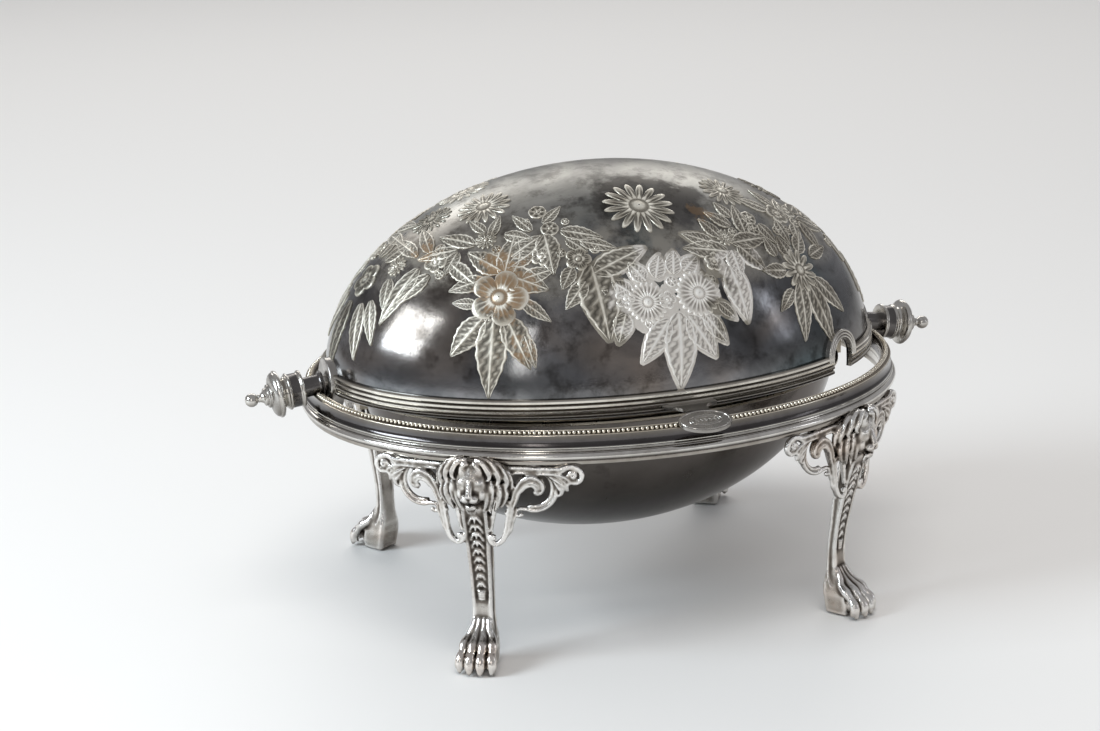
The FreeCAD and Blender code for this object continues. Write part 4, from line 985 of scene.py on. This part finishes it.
def mark_hollows(thing, passes, depth):
    """Write the attribute hollow: 1 in hollows deeper than a depth in metres, 0 on ridges."""
    mesh = thing.data
    count = len(mesh.vertices)
    points, normals = np.empty(count * 3), np.empty(count * 3)
    mesh.vertices.foreach_get("co", points)
    mesh.vertices.foreach_get("normal", normals)
    points, normals = points.reshape(-1, 3), normals.reshape(-1, 3)
    edges = np.empty(len(mesh.edges) * 2, int)
    mesh.edges.foreach_get("vertices", edges)
    edges = edges.reshape(-1, 2)
    counts = np.maximum(np.bincount(edges.ravel(), minlength=count), 1).astype(float)
    smooth = points.copy()
    for _ in range(passes):
        smooth = neighbour_mean(smooth, edges, counts)
    sunk = ((smooth - points) * normals).sum(axis=1) / depth
    for _ in range(2):
        sunk = neighbour_mean(sunk, edges, counts)
    attribute = mesh.attributes.new("hollow", "FLOAT", "POINT")
    attribute.data.foreach_set("value", np.clip(0.5 + 0.5 * sunk, 0, 1).astype(np.float32))


clay = [
    clay_rolls("brackets", both_sides(swing(bracket_rolls))),
    clay_lumps("bracket lumps", both_sides(swing(bracket_lumps))),
    clay_rolls("mane", both_sides(mane) + middle_rolls),
    clay_lumps("mask", mask_lumps + both_sides(mask_side_lumps)),
    clay_rolls("drop", both_sides(drop_rolls) + both_sides([rail, rail_top])),
    clay_lumps("drop middle", drop_lumps),
    clay_rolls("toes", toes + claws),
    clay_lumps("paw", paw_lumps),
    build_shaft(),
]
leg = join(clay, "leg")
apply_modifier(leg, "REMESH", mode="VOXEL", voxel_size=VOXEL)
apply_modifier(leg, "SMOOTH", factor=0.5, iterations=1)
for vertex in leg.data.vertices:
    vertex.co.z = max(vertex.co.z, 0.0)
mark_hollows(leg, HOLLOW_PASSES, HOLLOW_DEPTH)
print("leg:", len(leg.data.polygons), "faces")

# %% [markdown]
# The casting is copied to the four corners. Two of the copies are mirror images, and mirroring turns a skin
# inside out, so their faces are flipped back.

# %% Four legs
corner = Matrix.Translation((LEG_X, -LEG_Y, 0)) @ Matrix.Rotation(LEG_TURN, 4, "Z")
CORNERS = {"front_right": (1, 1), "front_left": (-1, 1), "back_right": (1, -1), "back_left": (-1, -1)}
for name, (flip_x, flip_y) in CORNERS.items():
    mesh = leg.data.copy()
    mesh.transform(Matrix.Diagonal((flip_x, flip_y, 1, 1)) @ corner)
    if flip_x * flip_y < 0:
        mesh.flip_normals()
    mesh.polygons.foreach_set("use_smooth", [True] * len(mesh.polygons))
    dress(add_object("casting_" + name, mesh), "base", [cast_silver], "leg_" + name)
bpy.data.objects.remove(leg)
print("legs stand at", [round(v / MM, 1) for v in corner.translation])

# %% [markdown]
# The beads on the frame are small studs, a little squashed along the oval, cast as a strip and soldered on.
# One bead is modelled and copied round the oval at equal steps. An ellipse has no simple formula for equal
# steps, so its length is added up first and then shared out. The beads stop where the two knob tubes cross
# the frame.

# %% Beads
RING_LONG, RING_WIDE = 0.1523, 0.1195
BEAD_PITCH, BEAD_RADIUS, BEAD_HEIGHT, BEAD_OUT = 2.35 * MM, 1.15 * MM, 121 * MM, 0.7 * MM
BEAD_SQUASH = (1, 0.78, 1.1, 1)
TUBE_HALF_WIDTH = 5.6 * MM


def even_ellipse(long, wide, count):
    """Angles that share an ellipse into equal lengths."""
    angles = np.linspace(0, 2 * math.pi, 7201)
    x, y = long * np.cos(angles), wide * np.sin(angles)
    run = np.concatenate([[0], np.cumsum(np.hypot(np.diff(x), np.diff(y)))])
    return np.interp(np.linspace(0, run[-1], count, endpoint=False), run, angles), run[-1]


ring_run = even_ellipse(RING_LONG, RING_WIDE, 4)[1]
bead_angles = even_ellipse(RING_LONG, RING_WIDE, round(ring_run / BEAD_PITCH))[0]
select_only()
bpy.ops.mesh.primitive_uv_sphere_add(segments=10, ring_count=6, radius=BEAD_RADIUS)
bead = bpy.context.object
studs = []
for angle in bead_angles:
    x, y = RING_LONG * math.cos(angle), RING_WIDE * math.sin(angle)
    if abs(y) < TUBE_HALF_WIDTH:
        continue
    mesh = bead.data.copy()
    outward = math.atan2(y / RING_WIDE ** 2, x / RING_LONG ** 2)
    mesh.transform(Matrix.Translation((x, y, BEAD_HEIGHT)) @ Matrix.Rotation(outward, 4, "Z")
                   @ Matrix.Translation((BEAD_OUT, 0, 0)) @ Matrix.Diagonal(BEAD_SQUASH))
    studs.append(add_object("bead", mesh))
bpy.data.objects.remove(bead)
print("beads:", len(studs))
dress(join(studs, "beads"), "base", [warm_plate])

# %% [markdown]
# The frame is a drawn moulding: a plain hollow under the beads, two fine fillets, and a bold round reed at
# its foot. A moulding is one outline swept round the oval, so a Bezier circle is stretched to the oval and
# takes the outline as its bevel. The seat of the beads and the two fine wires that hold them are swept in the
# same way.

# %% Frame moulding


def sweep(name, outline):
    """Sweep a closed outline of (outward, up) points in mm round the frame's oval."""
    select_only()
    bpy.ops.curve.primitive_bezier_circle_add(radius=1)
    profile = bpy.context.object
    profile.data.splines.clear()
    spline = profile.data.splines.new("POLY")
    spline.points.add(len(outline) - 1)
    for point, (out, up) in zip(spline.points, outline):
        point.co = (-out * MM, up * MM, 0, 1)
    spline.use_cyclic_u = True
    bpy.ops.curve.primitive_bezier_circle_add(radius=1)
    path = bpy.context.object
    path.name = name
    path.data.resolution_u = 64
    for point in path.data.splines[0].bezier_points:
        for place in (point.co, point.handle_left, point.handle_right):
            place.x, place.y = place.x * RING_LONG, place.y * RING_WIDE
    path.data.bevel_mode, path.data.bevel_object = "OBJECT", profile
    select_only(path)
    bpy.ops.object.convert(target="MESH")
    swept = bpy.context.object
    bpy.data.objects.remove(profile)
    mend_skin()
    bpy.ops.object.shade_smooth_by_angle(angle=math.radians(35))
    return swept


def half_round(middle, up, radius, steps=6):
    """Outline points of a round reed, from its foot to its top."""
    turns = [math.radians(-80 + 160 * i / steps) for i in range(steps + 1)]
    return [(middle + radius * math.cos(t), up + radius * math.sin(t)) for t in turns]


frame_outline = [(-2.8, 106), (3.2, 106), (3.5, 107.2), (3.3, 107.9)] + half_round(3.3, 109.9, 1.85) + [
    (3.5, 112.1)] + half_round(3.1, 112.7, 0.55, 4) + [(3.0, 113.5)] + half_round(2.8, 114, 0.4, 3) + [
    (2.5, 114.8), (2.1, 115.9), (1.9, 117.2), (1.95, 118.4), (2.2, 119.3), (2.3, 120), (-2.8, 120)]
seat_outline = [(-1.8, 120), (1.8, 120), (1.7, 120.5), (0.6, 120.9), (-0.8, 121.6), (-1.8, 121.6)]
for name, outline, look, node in (
        ("frame_moulding", frame_outline, frame_plate, "base_ring"),
        ("bead_seat", seat_outline, seat_painted_shade, "bead_strip"),
        ("bead_wire_low", half_round(1.75, 119.9, 0.45, 4) + [(1.5, 119.9)], warm_plate, None),
        ("bead_wire_high", half_round(-1.1, 121.7, 0.42, 4) + [(-1.4, 121.7)], warm_plate, None)):
    moulding = sweep(name, outline)
    dress(moulding, "base", [look], node)
    print(name, len(moulding.data.polygons), "faces")

# %% [markdown]
# The knobs are turned on a lathe: a drum between two thin rings, then a moulded disc, a stepped cone and
# a ball; the drum, the sleeve and the finial's disc are painted darker, a painted reflection of dark
# surroundings.
# The same is done here. Half of the outline is drawn from the tube outward, and a screw of one full turn
# makes it round. The piece is then laid along the drooping tube and mirrored for the left end. The tube's
# sleeve and the lug that carries the cover on it are turned too.

# %% Knobs
TUBE_START, TUBE_DROOP = Vector((0.1487, 0, 0.125)), math.radians(7)
PAINTED_DARK_BANDS = {"knob": (13.2, 17.5), "finial": (25, 30)}
knob_outline = [(11, 4.6), (11, 8.8), (11.1, 9.2), (11.5, 9.5), (12, 9.5), (12.4, 9.2), (12.6, 8.8),
                (12.9, 8.6), (13.3, 8.6), (17.4, 8.6), (17.7, 8.8), (18, 9.2), (18.4, 9.35), (18.8, 9.2),
                (19.1, 8.8), (19.4, 8.3), (20, 8.2), (20, 2.5)]
finial_outline = [(20, 2.5), (20, 7.7), (20.4, 7.3), (21, 7.4), (21.6, 8), (22, 9), (22.3, 10.6),
                  (22.7, 11.5), (23.2, 11.9), (23.9, 12), (24.4, 11.8), (24.6, 11.3), (25.2, 11.2),
                  (26.2, 10.4), (27, 9), (27.5, 7.2), (27.7, 6.1), (28.1, 5.8), (28.8, 5.9), (29.2, 5.5),
                  (29.4, 4.6), (29.9, 4.4), (30.5, 4.5), (30.9, 4), (31.1, 3.1), (32, 2.4), (33, 2),
                  (33.8, 2)]
BALL_MIDDLE, BALL_RADIUS = 37.1, 3.5
for i in range(9):
    around = math.radians(150 - 150 * i / 8)
    finial_outline.append((BALL_MIDDLE + BALL_RADIUS * math.cos(around),
                           max(BALL_RADIUS * math.sin(around), 0)))
LATHE_STEPS, LATHE_MERGE = 56, 0.01 * MM


def lathe(name, outline):
    """Turn an outline of (along, radius) in mm round its own axis, which then lies along the knob's tube."""
    mesh = bpy.data.meshes.new(name)
    mesh.from_pydata([(radius * MM, 0, along * MM) for along, radius in outline],
                     [(i, i + 1) for i in range(len(outline) - 1)], [])
    piece = add_object(name, mesh)
    apply_modifier(piece, "SCREW", steps=LATHE_STEPS, render_steps=LATHE_STEPS, use_merge_vertices=True,
                   merge_threshold=LATHE_MERGE)
    mend_skin(merge=LATHE_MERGE)
    bpy.ops.object.shade_smooth_by_angle(angle=math.radians(50))
    return piece


def place_at_end(piece, flip, droop=TUBE_DROOP, start=TUBE_START):
    """Lay a turned piece along the drooping tube, at the right end or mirrored at the left."""
    lean = Matrix.Translation(start) @ Matrix.Rotation(math.radians(90) + droop, 4, "Y")
    piece.data.transform(Matrix.Diagonal((flip, 1, 1, 1)) @ lean)
    if flip < 0:
        piece.data.flip_normals()


sleeve_outline = [(0.2, 4.2), (0.2, 6.4), (0.7, 6.7), (1.3, 6.6), (1.7, 5.8), (2.1, 5.25), (3, 5.06),
                  (11, 5.06), (11, 4.2)]
lug_outline = [(-4, 4.06), (-4, 13), (2.1, 13), (2.6, 12.8), (2.8, 12.3), (2.8, 4.06), (-4, 4.06)]
for end, flip in (("right", 1), ("left", -1)):
    for kind, outline, node in (("knob", knob_outline, "handle_knob_"),
                                ("finial", finial_outline, "finial_screw_")):
        piece = lathe(f"turned_{kind}_{end}", outline)
        # the knob's drum and the finial's disc take the second, darker finish: a painted reflection
        for face in piece.data.polygons:
            if PAINTED_DARK_BANDS[kind][0] < face.center.z / MM < PAINTED_DARK_BANDS[kind][1]:
                face.material_index = 1
        place_at_end(piece, flip)
        dress(piece, "base", [bright_plate, drum_painted_dark if kind == "knob" else tab_plate], node + end)
    sleeve = lathe(f"tube_sleeve_{end}", sleeve_outline)
    place_at_end(sleeve, flip)
    dress(sleeve, "base", [drum_painted_dark])
    lug = lathe(f"turned_lug_{end}", lug_outline)
    place_at_end(lug, flip, 0, Vector((COVER_LONG, 0, COVER_CENTRE.z)))
    dress(lug, "cover", [tab_plate], "cover_lug_" + end)
print("knobs and finials turned")

# %% [markdown]
# The spoon notch is bound with a reeded wire. Three thin rolls follow its arch, each point dropped on to the
# cover and lifted by the moulding's height. The finger tab gets the oval border that a die stamped into it.

# %% Notch reeds and tab border
NOTCH_X, NOTCH_SPRING, NOTCH_LIFT = 0.104, 0.130, 2.1 * MM
NOTCH_REEDS, REED_RADIUS, NOTCH_STEPS = (9.7, 11.2, 12.7), 0.8, 14
notch_foot = Vector((NOTCH_X, -COVER_ROUND * math.sqrt(1 - (NOTCH_X / COVER_LONG) ** 2), 0))
notch_out = Vector((notch_foot.x / COVER_LONG ** 2, notch_foot.y / COVER_ROUND ** 2, 0)).normalized()
notch_side = Vector((-notch_out.y, notch_out.x, 0))
reeds = []
for radius in NOTCH_REEDS:
    roll = []
    for i in range(NOTCH_STEPS + 1):
        a = math.radians(-8 + 196 * i / NOTCH_STEPS)
        lift = Vector((0, 0, radius * math.sin(a) * MM + NOTCH_SPRING - COVER_CENTRE.z))
        point = drop_on_cover(notch_foot + notch_side * radius * math.cos(a) * MM + lift, notch_out)
        point = (point + notch_out * NOTCH_LIFT + COVER_CENTRE) / MM
        roll.append((point.x, -point.y, point.z, REED_RADIUS))
    reeds.append(roll)
notch_reeds = clay_rolls("notch_reeds", reeds)

TAB_MIDDLE, TAB_TILT = Vector((0.008, -0.1227, 0.12207)), math.radians(15)
tab_rolls = []
for half_long, half_wide, thick in ((12.4, 8.0, 0.42), (8.4, 4.2, 0.3), (7.0, 3.0, 0.22)):
    turns = [2 * math.pi * i / 24 for i in range(25)]
    tab_rolls.append([(half_long * math.cos(t), half_wide * math.sin(t), 0.8, thick) for t in turns])
for i in range(5):  # five plain strokes in the oval, which say nothing
    left = -4.6 + 2.3 * i
    tab_rolls.append([(left, -1.1, 0.85, 0.2), (left + 0.5, 0.2, 0.85, 0.5), (left, 1.3, 0.85, 0.2)])
tab_border = clay_rolls("tab_border", tab_rolls)
tab_border.data.transform(Matrix.Translation(TAB_MIDDLE) @ Matrix.Rotation(TAB_TILT, 4, "X"))
for piece in (notch_reeds, tab_border):
    for face in piece.data.polygons:
        face.use_smooth = True
    dress(piece, "cover", [bright_plate])
print("notch and tab finished")

low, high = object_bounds()
